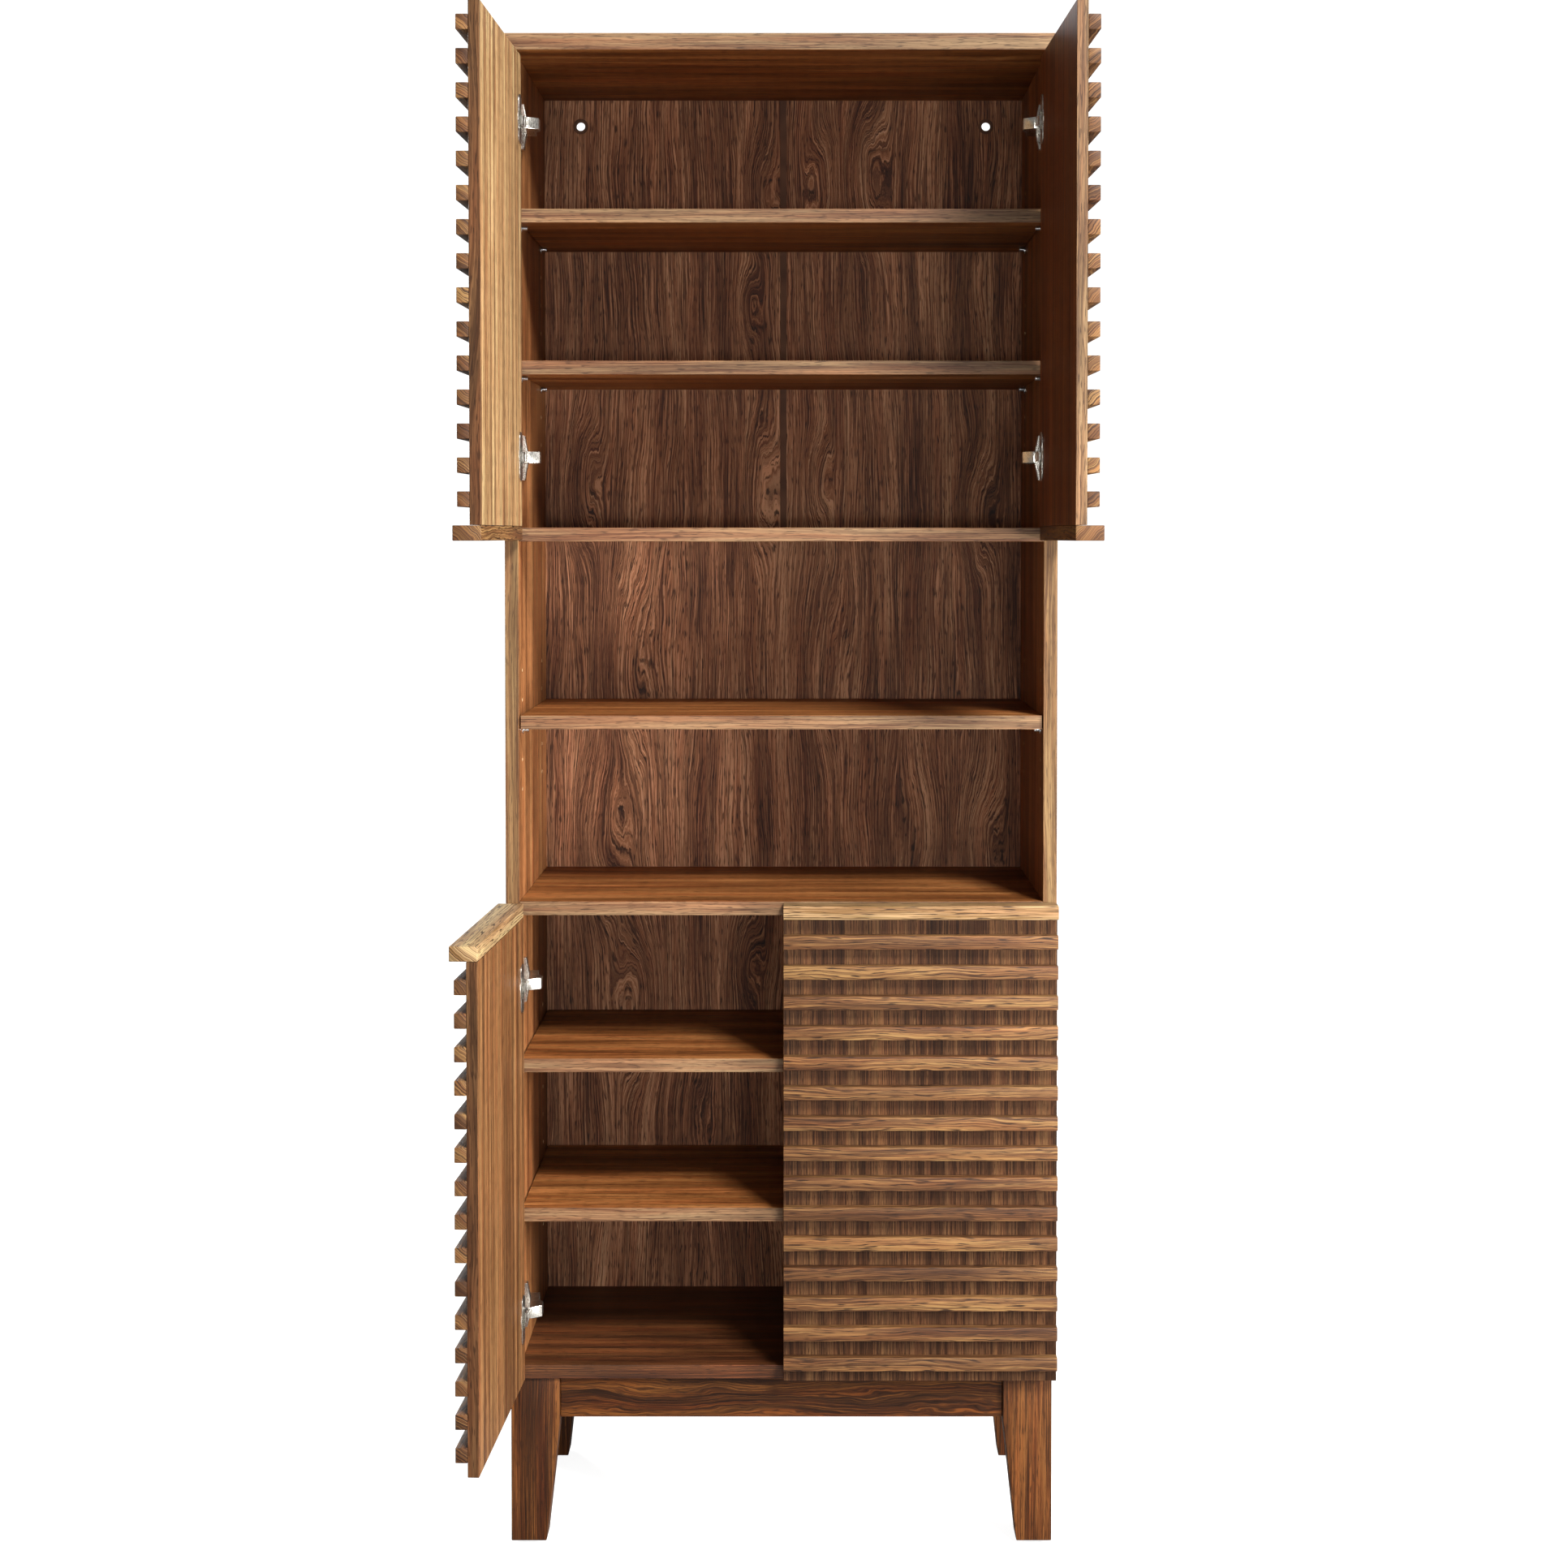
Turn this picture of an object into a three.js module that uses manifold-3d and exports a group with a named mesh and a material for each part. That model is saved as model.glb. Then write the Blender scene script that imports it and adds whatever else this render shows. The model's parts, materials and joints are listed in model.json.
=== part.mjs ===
// Tall shoe cabinet on four tapered legs: a lower and an upper section behind slatted doors,
// and an open section between them. Three of the four doors stand open.
// Millimetres, +Z up, +X to the right, +Y to the rear. The origin is on the floor, mid-width,
// straight below the front edges of the side panels.

import * as THREE from 'three';
import { mergeVertices } from 'three/addons/utils/BufferGeometryUtils.js';
import Module from 'manifold-3d';

const wasm = await Module();
wasm.setup();

// Carcass
const cabinetWidth = 640;
const sideDepth = 330;
const boardThickness = 16;
const topThickness = 19;
const topOverhang = 27;
const backThickness = 4;
const backSetIn = 6;
const backGroove = 5;
const jointStripWidth = 6;
const wallHoleDiameter = 11;
const wallHoleFromMiddle = 258;
const wallHoleBelowTop = 33;
const touchGap = 0.3;

// Clear heights of the compartments, from the lowest up, with a board between any two
const lowerBays = [168, 159, 168];
const openBays = [200, 202];
const upperBays = [177, 159, 177];

// Adjustable shelves and the rows of holes that their pins stand in
const shelfFrontRecess = 3;
const shelfBackGap = 4;
const shelfEndGap = 1.5;
const pinHoleDiameter = 5;
const pinHoleDepth = 9;
const pinPitch = 35;
const sparePins = 2;
const frontPinRow = 37;
const rearPinRow = 265;

// Base
const glideHeight = 4;
const glideDiameter = 16;
const glideEdge = 1;
const legHeight = 193;
const legTopWidth = 57;
const legFootWidth = 41;
const legDepth = 40;
const legInset = 4;
const apronHeight = 48;
const apronThickness = 16;
const apronRecess = 5;

// Doors: a flat panel with slats across its outer face and a deeper rail along one end
const panelThickness = 12;
const slatHeight = 16;
const slatDepth = 13;
const slatPitch = 35;
const railHeight = 16;
const railDepth = 30;
const doorGap = 2;
const outerReveal = 0.5;
const centreHalfGap = 2.5;
const lowerDoorReveal = { bottom: 2, top: 1 };
const upperDoorReveal = { bottom: 1.5, top: 3.5 };
const upperOpenAngle = 91.5;
const lowerOpenAngle = 92.5;

// Concealed hinges: the door turns about one upright line near its outer edge
const axisFromDoorEdge = 6.9;
const axisFromDoorFace = 14;
const hingeFromRailEnd = 96;
const hingeFromPlainEnd = 75;
const cupDiameter = 26;
const cupDepth = 9.3;
const cupWall = 0.8;
const cupFromDoorEdge = 16;
const cupRim = 1.1;
const flangeLength = 56;
const flangeWidth = 22;
const flangeThickness = 1;
const armWidth = 13;
const armRise = 24;
const armReach = 62;
const armFront = 1;
const armCrown = [9, 24];
const armTail = { from: 34, drop: 6, endDrop: 8 };
const armBase = 3.7;
const noseWidth = 5.4;
const pivotRadius = 1.9;
const pivotFromAxis = [17.4, 7.8];
const wingLength = 52;
const wingDepth = 12;
const wingRow = 37;
const linkWidth = 11;
const linkThickness = 1.6;
const linkElbow = [-10.67, 1.87];
const linkTip = [-10.04, 6.75];
const linkRatio = -1.02;

// Flats that stand for one turn of each round shape
const pinHoleSides = 8;
const wallHoleSides = 24;
const glideSides = 16;
const cupSides = 24;
const pivotSides = 12;

// Levels and faces that follow from the sizes above
const sum = (list) => list.reduce((total, value) => total + value, 0);
const baseTop = glideHeight + legHeight;
const innerWidth = cabinetWidth - 2 * boardThickness;
const sideFace = innerWidth / 2;
const sectionHeight = (bays) => sum(bays) + bays.length * boardThickness;
const openSectionFloor = baseTop + boardThickness + sectionHeight(lowerBays);
const upperSectionFloor = openSectionFloor + sectionHeight(openBays);
const topUnderside = upperSectionFloor + sum(upperBays) + (upperBays.length - 1) * boardThickness;
const backRear = sideDepth - backSetIn;
const backFront = backRear - backThickness;
const doorWidth = cabinetWidth / 2 - outerReveal - centreHalfGap;
const axisX = cabinetWidth / 2 - outerReveal - axisFromDoorEdge;
const axisY = -(doorGap + axisFromDoorFace);

const walnut = { color: '#8b5f3f', roughness: 0.6, metalness: 0 };
const shadedWalnut = { color: '#6b4a33', roughness: 0.65, metalness: 0 };
const nickel = { color: '#c9c8c4', roughness: 0.28, metalness: 1 };
const palePlastic = { color: '#d8d6d2', roughness: 0.5, metalness: 0 };

const cabinet = new THREE.Group();

function addPiece(parent, name, geometry, look) {
  const mesh = new THREE.Mesh(geometry, new THREE.MeshStandardMaterial(look));
  mesh.name = name;
  parent.add(mesh);
  return mesh;
}

function box(x, y, z) {
  const geometry = new THREE.BoxGeometry(x[1] - x[0], y[1] - y[0], z[1] - z[0]);
  return geometry.translate((x[0] + x[1]) / 2, (y[0] + y[1]) / 2, (z[0] + z[1]) / 2);
}

function outline(points) {
  return new THREE.Shape(points.map(([u, v]) => new THREE.Vector2(u, v)));
}

// An outline extruded along +Z
function prismZ(points, z) {
  const depth = z[1] - z[0];
  const geometry = new THREE.ExtrudeGeometry(outline(points), { depth, bevelEnabled: false });
  return geometry.translate(0, 0, z[0]);
}

// An outline in (y, z) extruded along +X
function prismX(points, x) {
  return prismZ(points, x).rotateX(Math.PI / 2).rotateZ(Math.PI / 2);
}

// An outline in (x, z) extruded along +Y
function prismY(points, y) {
  return prismZ(points, [-y[1], -y[0]]).rotateX(Math.PI / 2);
}

// A closed body that can be joined or cut, and the way back to a geometry
function solidOf(geometry) {
  const bare = geometry.clone();
  bare.deleteAttribute('normal');
  bare.deleteAttribute('uv');
  const merged = mergeVertices(bare);
  return new wasm.Manifold(new wasm.Mesh({
    numProp: 3,
    vertProperties: new Float32Array(merged.attributes.position.array),
    triVerts: new Uint32Array(merged.index.array),
  }));
}

function geometryOf(solid) {
  const mesh = solid.getMesh();
  const geometry = new THREE.BufferGeometry();
  geometry.setAttribute('position', new THREE.BufferAttribute(mesh.vertProperties, 3));
  geometry.setIndex(new THREE.BufferAttribute(mesh.triVerts, 1));
  geometry.computeVertexNormals();
  return geometry;
}

// Upright places, in order, of the boards between the compartments of a section
function boardLevels(floor, bays) {
  return bays.slice(0, -1).map((bay, i) => floor + sum(bays.slice(0, i + 1)) + i * boardThickness);
}

const lowerLevels = boardLevels(baseTop + boardThickness, lowerBays);
const openLevels = boardLevels(openSectionFloor, openBays);
const upperLevels = boardLevels(upperSectionFloor, upperBays);
const shelves = [
  ...lowerLevels.map((z, i) => ({ name: `shelf_lower_${i + 1}`, z })),
  ...openLevels.map((z) => ({ name: 'shelf_open', z })),
  ...upperLevels.map((z, i) => ({ name: `shelf_upper_${i + 1}`, z })),
];

// Levels of the pin holes: under each adjustable shelf, between two of them, and some spare ones
function pinLevels() {
  const levels = [];
  for (const shelf of shelves) {
    const pin = shelf.z - pinHoleDiameter / 2;
    for (let step = -sparePins; step <= sparePins; step += 1) {
      const level = pin + step * pinPitch;
      if (levels.every((other) => Math.abs(other - level) > pinPitch / 2)) levels.push(level);
    }
  }
  return levels;
}

// Side panels, with a groove for the backs and the pin holes
function sidePanel(side) {
  const groove = sideFace + backGroove;
  const outer = cabinetWidth / 2;
  const points = [
    [outer, 0],
    [outer, sideDepth],
    [sideFace, sideDepth],
    [sideFace, backRear + touchGap],
    [groove, backRear + touchGap],
    [groove, backFront - touchGap],
    [sideFace, backFront - touchGap],
    [sideFace, 0],
  ];
  const board = prismZ(points.map(([x, y]) => [side * x, y]), [baseTop, topUnderside - touchGap]);
  const holes = [];
  const radius = pinHoleDiameter / 2;
  for (const level of pinLevels()) {
    for (const row of [frontPinRow, rearPinRow]) {
      const hole = new THREE.CylinderGeometry(radius, radius, 2 * pinHoleDepth, pinHoleSides);
      hole.rotateZ(Math.PI / 2).translate(side * sideFace, row, level);
      holes.push(solidOf(hole));
    }
  }
  return geometryOf(solidOf(board).subtract(wasm.Manifold.union(holes)));
}

addPiece(cabinet, 'side_left', sidePanel(-1), walnut);
addPiece(cabinet, 'side_right', sidePanel(1), walnut);
addPiece(cabinet, 'top_panel', box([-cabinetWidth / 2, cabinetWidth / 2], [-topOverhang, sideDepth],
  [topUnderside, topUnderside + topThickness]), walnut);

// Fixed boards between the side panels, in front of the backs
const fixedBoards = [
  { name: 'bottom_panel', z: baseTop },
  { name: 'divider_lower', z: openSectionFloor - boardThickness },
  { name: 'divider_upper', z: upperSectionFloor - boardThickness },
];
for (const board of fixedBoards) {
  const reach = sideFace - touchGap;
  const geometry = box([-reach, reach], [0, backFront - touchGap], [board.z, board.z + boardThickness]);
  addPiece(cabinet, board.name, geometry, walnut);
}

for (const shelf of shelves) {
  const reach = sideFace - shelfEndGap;
  const geometry = box([-reach, reach], [shelfFrontRecess, backFront - shelfBackGap],
    [shelf.z, shelf.z + boardThickness]);
  addPiece(cabinet, shelf.name, geometry, walnut);
}

// Backs stand in the side panels' grooves and meet each other behind the dividers
const backReach = sideFace + backGroove - touchGap;
const backSplits = [baseTop, openSectionFloor, upperSectionFloor].map((z, i) => (
  i === 0 ? z : z - boardThickness / 2
));
const backTop = topUnderside - touchGap;
const stripHalf = jointStripWidth / 2;
const backs = [
  { name: 'back_lower', x: [-backReach, backReach], z: [backSplits[0], backSplits[1] - touchGap] },
  { name: 'back_middle', x: [-backReach, backReach], z: [backSplits[1], backSplits[2] - touchGap] },
  { name: 'back_upper_left', x: [-backReach, -stripHalf - touchGap], z: [backSplits[2], backTop] },
  { name: 'back_upper_right', x: [stripHalf + touchGap, backReach], z: [backSplits[2], backTop] },
  { name: 'back_joint_strip', x: [-stripHalf, stripHalf], z: [backSplits[2], backTop] },
];
for (const back of backs) {
  addPiece(cabinet, back.name, box(back.x, [backFront, backRear], back.z), shadedWalnut);
}

// Holes near the top of the upper backs, for the screws that tie the cabinet to a wall
for (const [hand, side] of [['left', -1], ['right', 1]]) {
  const board = cabinet.getObjectByName(`back_upper_${hand}`);
  const radius = wallHoleDiameter / 2;
  const hole = new THREE.CylinderGeometry(radius, radius, 4 * backThickness, wallHoleSides);
  hole.translate(side * wallHoleFromMiddle, backFront, topUnderside - wallHoleBelowTop);
  board.geometry = geometryOf(solidOf(board.geometry).subtract(solidOf(hole)));
}

// Base: legs with an upright outer side and an inner side that tapers below the aprons
const legOuter = cabinetWidth / 2 - legInset;
const legFront = legInset;
const legRear = sideDepth - legInset;
const apronBottom = baseTop - apronHeight;
const ends = { front: [legFront, legFront + legDepth], rear: [legRear - legDepth, legRear] };
for (const [end, depth] of Object.entries(ends)) {
  for (const [hand, side] of [['left', -1], ['right', 1]]) {
    const points = [
      [legOuter, glideHeight + touchGap],
      [legOuter, baseTop - touchGap],
      [legOuter - legTopWidth, baseTop - touchGap],
      [legOuter - legTopWidth, apronBottom],
      [legOuter - legFootWidth, glideHeight + touchGap],
    ];
    addPiece(cabinet, `leg_${end}_${hand}`, prismY(points.map(([x, z]) => [side * x, z]), depth), walnut);

    const radius = glideDiameter / 2;
    const profile = [
      [0, 0],
      [radius - glideEdge, 0],
      [radius, glideEdge],
      [radius, glideHeight],
      [0, glideHeight],
    ];
    const glide = new THREE.LatheGeometry(profile.map(([r, z]) => new THREE.Vector2(r, z)), glideSides);
    const piece = addPiece(cabinet, `glide_${end}_${hand}`, glide.rotateX(Math.PI / 2), palePlastic);
    piece.position.set(side * (legOuter - legFootWidth / 2), (depth[0] + depth[1]) / 2, 0);
  }
}

const apronReach = legOuter - legTopWidth - touchGap;
const apronLevels = [apronBottom, baseTop - touchGap];
const apronFront = legFront + apronRecess;
const apronRear = legRear - apronRecess;
addPiece(cabinet, 'apron_front',
  box([-apronReach, apronReach], [apronFront, apronFront + apronThickness], apronLevels), walnut);
addPiece(cabinet, 'apron_rear',
  box([-apronReach, apronReach], [apronRear - apronThickness, apronRear], apronLevels), walnut);
for (const [hand, side] of [['left', -1], ['right', 1]]) {
  const outer = side * (legOuter - apronRecess);
  const inner = outer - side * apronThickness;
  const depth = [ends.front[1] + touchGap, ends.rear[0] - touchGap];
  addPiece(cabinet, `apron_${hand}`,
    box([Math.min(outer, inner), Math.max(outer, inner)], depth, apronLevels), walnut);
}

// A door is built closed, about its own hinge line: `side` is -1 for a left door and 1 for a right
// one, so -side points from the hinge line to the middle of the cabinet. Distances `s` run from the
// end that has the rail.
const innerFace = axisFromDoorFace;
const outerFace = innerFace - panelThickness;
const edgeX = -axisFromDoorEdge;
const cupX = edgeX + cupFromDoorEdge;
const span = (side, from, to) => [Math.min(-side * from, -side * to), Math.max(-side * from, -side * to)];

function doorPanel(door) {
  const points = [[innerFace, railHeight + touchGap], [innerFace, door.height], [outerFace, door.height]];
  const slats = Math.floor((door.height - railHeight) / slatPitch);
  for (let i = slats; i >= 1; i -= 1) {
    const top = railHeight + i * slatPitch;
    points.push([outerFace, top]);
    points.push([outerFace - slatDepth, top]);
    points.push([outerFace - slatDepth, top - slatHeight]);
    points.push([outerFace, top - slatHeight]);
  }
  points.push([outerFace, railHeight + touchGap]);
  const width = span(door.side, edgeX, edgeX + doorWidth);
  const panel = prismX(points.map(([y, s]) => [y, door.level(s)]), width);
  const pockets = door.hinges.map((hinge) => {
    const radius = cupDiameter / 2 + touchGap;
    const depth = cupDepth + touchGap;
    const pocket = new THREE.CylinderGeometry(radius, radius, 2 * depth, cupSides);
    return solidOf(pocket.translate(-door.side * cupX, innerFace, hinge.z));
  });
  return geometryOf(solidOf(panel).subtract(wasm.Manifold.union(pockets)));
}

function doorRail(door) {
  const levels = [door.level(0), door.level(railHeight)].sort((a, b) => a - b);
  return box(span(door.side, edgeX, edgeX + doorWidth), [innerFace - railDepth, innerFace], levels);
}

// Cup with its flange, lying on the door's inner face, with the cup's mouth at the origin facing +Y
function hingeCup() {
  const radius = cupDiameter / 2;
  const hollow = radius - cupWall;
  const floor = -cupDepth + cupWall;
  const profile = [
    [0, -cupDepth],
    [radius, -cupDepth],
    [radius, cupRim],
    [hollow, cupRim],
    [hollow, floor],
    [0, floor],
  ];
  const cup = new THREE.LatheGeometry(profile.map(([r, y]) => new THREE.Vector2(r, y)), cupSides);
  const plate = box([-flangeWidth / 2, flangeWidth / 2], [touchGap, touchGap + flangeThickness],
    [-flangeLength / 2, flangeLength / 2]);
  const middle = hollow + cupWall / 2;
  const opening = new THREE.CylinderGeometry(middle, middle, 4 * cupRim, cupSides);
  return geometryOf(solidOf(plate).subtract(solidOf(opening)).add(solidOf(cup)));
}

// Arm and mounting plate on the side panel, about the hinge line: the plate's wings lie on the panel,
// the arm stands on the plate, and its nose reaches forward to the links' pivot
function hingeArm(side) {
  const faceX = sideFace - axisX;
  const plateX = -faceX + touchGap;
  const frontY = -axisY;
  const [pivotX, pivotY] = pivotFromAxis;
  const topX = -faceX + armRise;
  const rearY = frontY + armReach;
  const mirror = ([x, y]) => [-side * x, y];
  const half = armWidth / 2;
  const profile = [
    [plateX, rearY],
    [plateX, frontY + armFront + touchGap],
    [pivotX - pivotRadius, frontY + armFront],
    [pivotX + 2 * pivotRadius, frontY + armFront],
    [topX, frontY + armCrown[0]],
    [topX, frontY + armCrown[1]],
    [topX - armTail.drop, frontY + armTail.from],
    [topX - armTail.endDrop, rearY],
  ];
  const neckEnd = frontY + armFront + pivotRadius;
  const neck = [
    [pivotX - pivotRadius, neckEnd],
    [pivotX - pivotRadius, pivotY],
    [pivotX + pivotRadius, pivotY],
    [pivotX + pivotRadius, neckEnd],
  ];
  const barrel = new THREE.CylinderGeometry(pivotRadius, pivotRadius, noseWidth, pivotSides);
  barrel.rotateX(Math.PI / 2).translate(-side * pivotX, pivotY, 0);
  const wing = [
    [plateX, -wingLength / 2],
    [plateX + armBase, -wingLength / 2],
    [plateX + 2 * armBase, -half],
    [plateX + 2 * armBase, half],
    [plateX + armBase, wingLength / 2],
    [plateX, wingLength / 2],
  ];
  const wingY = [frontY + wingRow - wingDepth / 2, frontY + wingRow + wingDepth / 2];
  return geometryOf(
    solidOf(prismZ(profile.map(mirror), [-half, half]))
      .add(solidOf(prismZ(neck.map(mirror), [-noseWidth / 2, noseWidth / 2])))
      .add(solidOf(barrel))
      .add(solidOf(prismY(wing.map(mirror), wingY))),
  );
}

// Bent strip of even thickness along a line of points, mitred at its corners
function strip(points, thickness) {
  const line = points.map(([x, y]) => new THREE.Vector2(x, y));
  const sideways = line.slice(1).map((point, i) => {
    const along = point.clone().sub(line[i]).normalize();
    return new THREE.Vector2(-along.y, along.x);
  });
  const offsets = line.map((point, i) => {
    const before = sideways[Math.max(i - 1, 0)];
    const after = sideways[Math.min(i, sideways.length - 1)];
    const mitre = before.clone().add(after).normalize();
    return mitre.multiplyScalar(thickness / 2 / mitre.dot(before));
  });
  const left = line.map((point, i) => point.clone().add(offsets[i]).toArray());
  const right = line.map((point, i) => point.clone().sub(offsets[i]).toArray());
  return [...left, ...right.reverse()];
}

// Link between arm and cup, as it lies in the cup of a closed door, about its pivot on the arm's nose:
// a hooked plate with a lug on each side of the nose
function hingeLink(side) {
  const mirror = ([x, y]) => [-side * x, y];
  const reach = Math.hypot(...linkElbow);
  const along = (distance) => linkElbow.map((value) => (value / reach) * distance);
  const start = pivotRadius + 2 * touchGap;
  const plate = strip([along(start), linkElbow, linkTip], linkThickness);
  const lug = strip([[0, 0], along(start + linkThickness)], linkThickness);
  let link = solidOf(prismZ(plate.map(mirror), [-linkWidth / 2, linkWidth / 2]));
  const inner = noseWidth / 2 + touchGap;
  for (const z of [[inner, linkWidth / 2], [-linkWidth / 2, -inner]]) {
    const eye = new THREE.CylinderGeometry(pivotRadius, pivotRadius, z[1] - z[0], pivotSides);
    eye.rotateX(Math.PI / 2).translate(0, 0, (z[0] + z[1]) / 2);
    link = link.add(solidOf(prismZ(lug.map(mirror), z))).add(solidOf(eye));
  }
  return geometryOf(link);
}

const lowerDoorFloor = baseTop + lowerDoorReveal.bottom;
const upperDoorFloor = upperSectionFloor - boardThickness + upperDoorReveal.bottom;
const lowerDoorHeight = openSectionFloor - lowerDoorReveal.top - lowerDoorFloor;
const upperDoorHeight = topUnderside - upperDoorReveal.top - upperDoorFloor;
const upperDoor = { z: upperDoorFloor, height: upperDoorHeight, railOnTop: false };
const lowerDoor = { z: lowerDoorFloor, height: lowerDoorHeight, railOnTop: true };
const doors = [
  { ...upperDoor, name: 'upper_left', side: -1, open: upperOpenAngle },
  { ...upperDoor, name: 'upper_right', side: 1, open: upperOpenAngle },
  { ...lowerDoor, name: 'lower_left', side: -1, open: lowerOpenAngle },
  { ...lowerDoor, name: 'lower_right', side: 1, open: 0 },
];

for (const door of doors) {
  const { name, side } = door;
  door.level = (s) => (door.railOnTop ? door.height - s : s);
  door.hinges = [
    { name: door.railOnTop ? 'top' : 'bottom', z: door.level(hingeFromRailEnd) },
    { name: door.railOnTop ? 'bottom' : 'top', z: door.level(door.height - hingeFromPlainEnd) },
  ];
  const turn = side * THREE.MathUtils.degToRad(door.open);
  const hingeLine = [side * axisX, axisY, door.z];

  const leaf = new THREE.Group();
  leaf.position.set(...hingeLine);
  leaf.rotation.z = turn;
  cabinet.add(leaf);
  addPiece(leaf, `${name}_door_panel`, doorPanel(door), walnut);
  addPiece(leaf, `${name}_door_rail`, doorRail(door), walnut);

  for (const hinge of door.hinges) {
    const cup = addPiece(leaf, `${name}_hinge_cup_${hinge.name}`, hingeCup(), nickel);
    cup.position.set(-side * cupX, innerFace, hinge.z);

    const arm = addPiece(cabinet, `${name}_hinge_arm_${hinge.name}`, hingeArm(side), nickel);
    arm.position.set(hingeLine[0], hingeLine[1], door.z + hinge.z);

    const link = addPiece(cabinet, `${name}_hinge_link_${hinge.name}`, hingeLink(side), nickel);
    const [pivotX, pivotY] = pivotFromAxis;
    link.position.set(hingeLine[0] - side * pivotX, hingeLine[1] + pivotY, door.z + hinge.z);
    link.rotation.z = linkRatio * turn;
  }
}

export default cabinet;
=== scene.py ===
import json
import math
import random

import bmesh
import bpy
from mathutils import Matrix, Vector


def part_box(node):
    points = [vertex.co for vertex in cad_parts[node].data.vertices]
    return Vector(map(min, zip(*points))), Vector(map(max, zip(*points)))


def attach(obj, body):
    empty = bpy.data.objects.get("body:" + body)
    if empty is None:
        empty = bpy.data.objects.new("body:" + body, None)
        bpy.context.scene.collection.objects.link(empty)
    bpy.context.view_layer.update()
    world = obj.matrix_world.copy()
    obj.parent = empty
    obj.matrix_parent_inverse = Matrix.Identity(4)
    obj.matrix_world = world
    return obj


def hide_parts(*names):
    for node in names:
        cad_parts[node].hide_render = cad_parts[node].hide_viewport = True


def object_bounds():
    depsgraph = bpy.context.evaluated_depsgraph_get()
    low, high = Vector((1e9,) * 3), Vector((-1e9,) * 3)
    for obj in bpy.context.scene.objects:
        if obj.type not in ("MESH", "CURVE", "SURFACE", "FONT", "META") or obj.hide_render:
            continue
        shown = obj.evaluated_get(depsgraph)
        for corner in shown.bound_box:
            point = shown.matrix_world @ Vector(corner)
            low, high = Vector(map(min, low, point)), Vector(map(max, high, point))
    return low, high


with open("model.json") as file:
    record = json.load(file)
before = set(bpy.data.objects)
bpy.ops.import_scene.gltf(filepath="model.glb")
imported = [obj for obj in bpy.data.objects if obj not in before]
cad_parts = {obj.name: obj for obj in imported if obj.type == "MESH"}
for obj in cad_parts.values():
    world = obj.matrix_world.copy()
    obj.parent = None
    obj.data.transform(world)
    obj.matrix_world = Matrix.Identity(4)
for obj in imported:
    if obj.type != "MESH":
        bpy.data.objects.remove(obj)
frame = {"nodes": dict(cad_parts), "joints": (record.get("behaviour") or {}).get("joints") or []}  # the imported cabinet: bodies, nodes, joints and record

# Shoe cabinet in walnut veneer, with slatted doors, shelves on pins and tapered legs.
# Sizes in the dictionaries are millimetres, and places come from the frame, in metres.
# Grain is worked out in millimetres too, always running along a local Z.

mm = 0.001
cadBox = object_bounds()
carcass = "carcass"
scene = bpy.context.scene
grainRandom = random.Random(11)  # one seeded source for every draw


def srgb(code):
    # hex colour to linear
    channels = [int(code[i:i + 2], 16) / 255 for i in (1, 3, 5)]
    linear = [c / 12.92 if c <= 0.04045 else ((c + 0.055) / 1.055) ** 2.4 for c in channels]
    return (*linear, 1.0)


def addNode(tree, kind, settings=None, inputs=None):
    node = tree.nodes.new(kind)
    for key, value in (settings or {}).items():
        if key == "stops":  # colour ramp: places and hex colours, or grey levels
            ramp = node.color_ramp
            while len(ramp.elements) < len(value):
                ramp.elements.new(0.5)
            for element, (position, colour) in zip(ramp.elements, value):
                element.position = position
                element.color = srgb(colour) if isinstance(colour, str) else (colour, colour, colour, 1)
        else:
            setattr(node, key, value)
    for key, value in (inputs or {}).items():
        if isinstance(value, bpy.types.Node):
            tree.links.new(value.outputs[0], node.inputs[key])
        elif isinstance(value, bpy.types.NodeSocket):
            tree.links.new(value, node.inputs[key])
        else:
            node.inputs[key].default_value = value
    return node


def newMaterial(name):
    material = bpy.data.materials.new(name)
    material.use_nodes = True
    material.node_tree.nodes.clear()
    return material, material.node_tree


def closeMaterial(tree, shader):
    addNode(tree, "ShaderNodeOutputMaterial", None, {"Surface": shader.outputs[0]})


# What every walnut surface starts from; each finish further down says what differs
walnut = {
    "attribute": None,                # name of the piece's own grain attribute, or None for Object
    "turn": (0, 0, 0),                # turns the grain upright, in degrees
    "depthSlant": 0.83,               # how far the grain steps aside for each step into the board
    "light": "#B98C61",
    "mid": "#94683F",
    "dark": "#5C3A23",
    "line": "#38200F",
    "pore": "#251307",
    "lineSpacing": 7,                 # between growth lines
    "lineStrength": 0.6,
    "lineWander": {"across": 0.6, "length": 250, "amount": 1.8},  # uneven distances between them
    "bend": {"width": 70, "length": 420, "amount": 16},   # slow wander of the grain
    "rag": {"width": 16, "length": 55, "across": 9, "along": 40},  # how unevenly a crown closes
    "band": {"width": 34, "length": 700},                 # broad light and dark stripes
    "bandLow": 0.34,
    "bandHigh": 0.68,
    "fibre": {"width": 1.4, "length": 130},               # streaks of fibre
    "fibreStrength": 0.9,
    "pores": {"width": 1.1, "length": 18},                # open pores, drawn a little coarse
    "poreStrength": 0.7,
    "blush": "#FFC9B6",               # tint of the redder streaks
    "blushStrength": 0.6,
    "blushStreak": {"width": 13, "length": 320, "offset": (37, 0, 11)},  # the offset parts it from the bands
    "roughness": (0.44, 0.6),
    "specular": 0.22,
    "coat": 0.03,                     # the lacquer
    "coatRoughness": 0.38,
    "bump": 0.12,
    "figures": [],                    # crowns and knots: x, z, width, height, push
}


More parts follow.
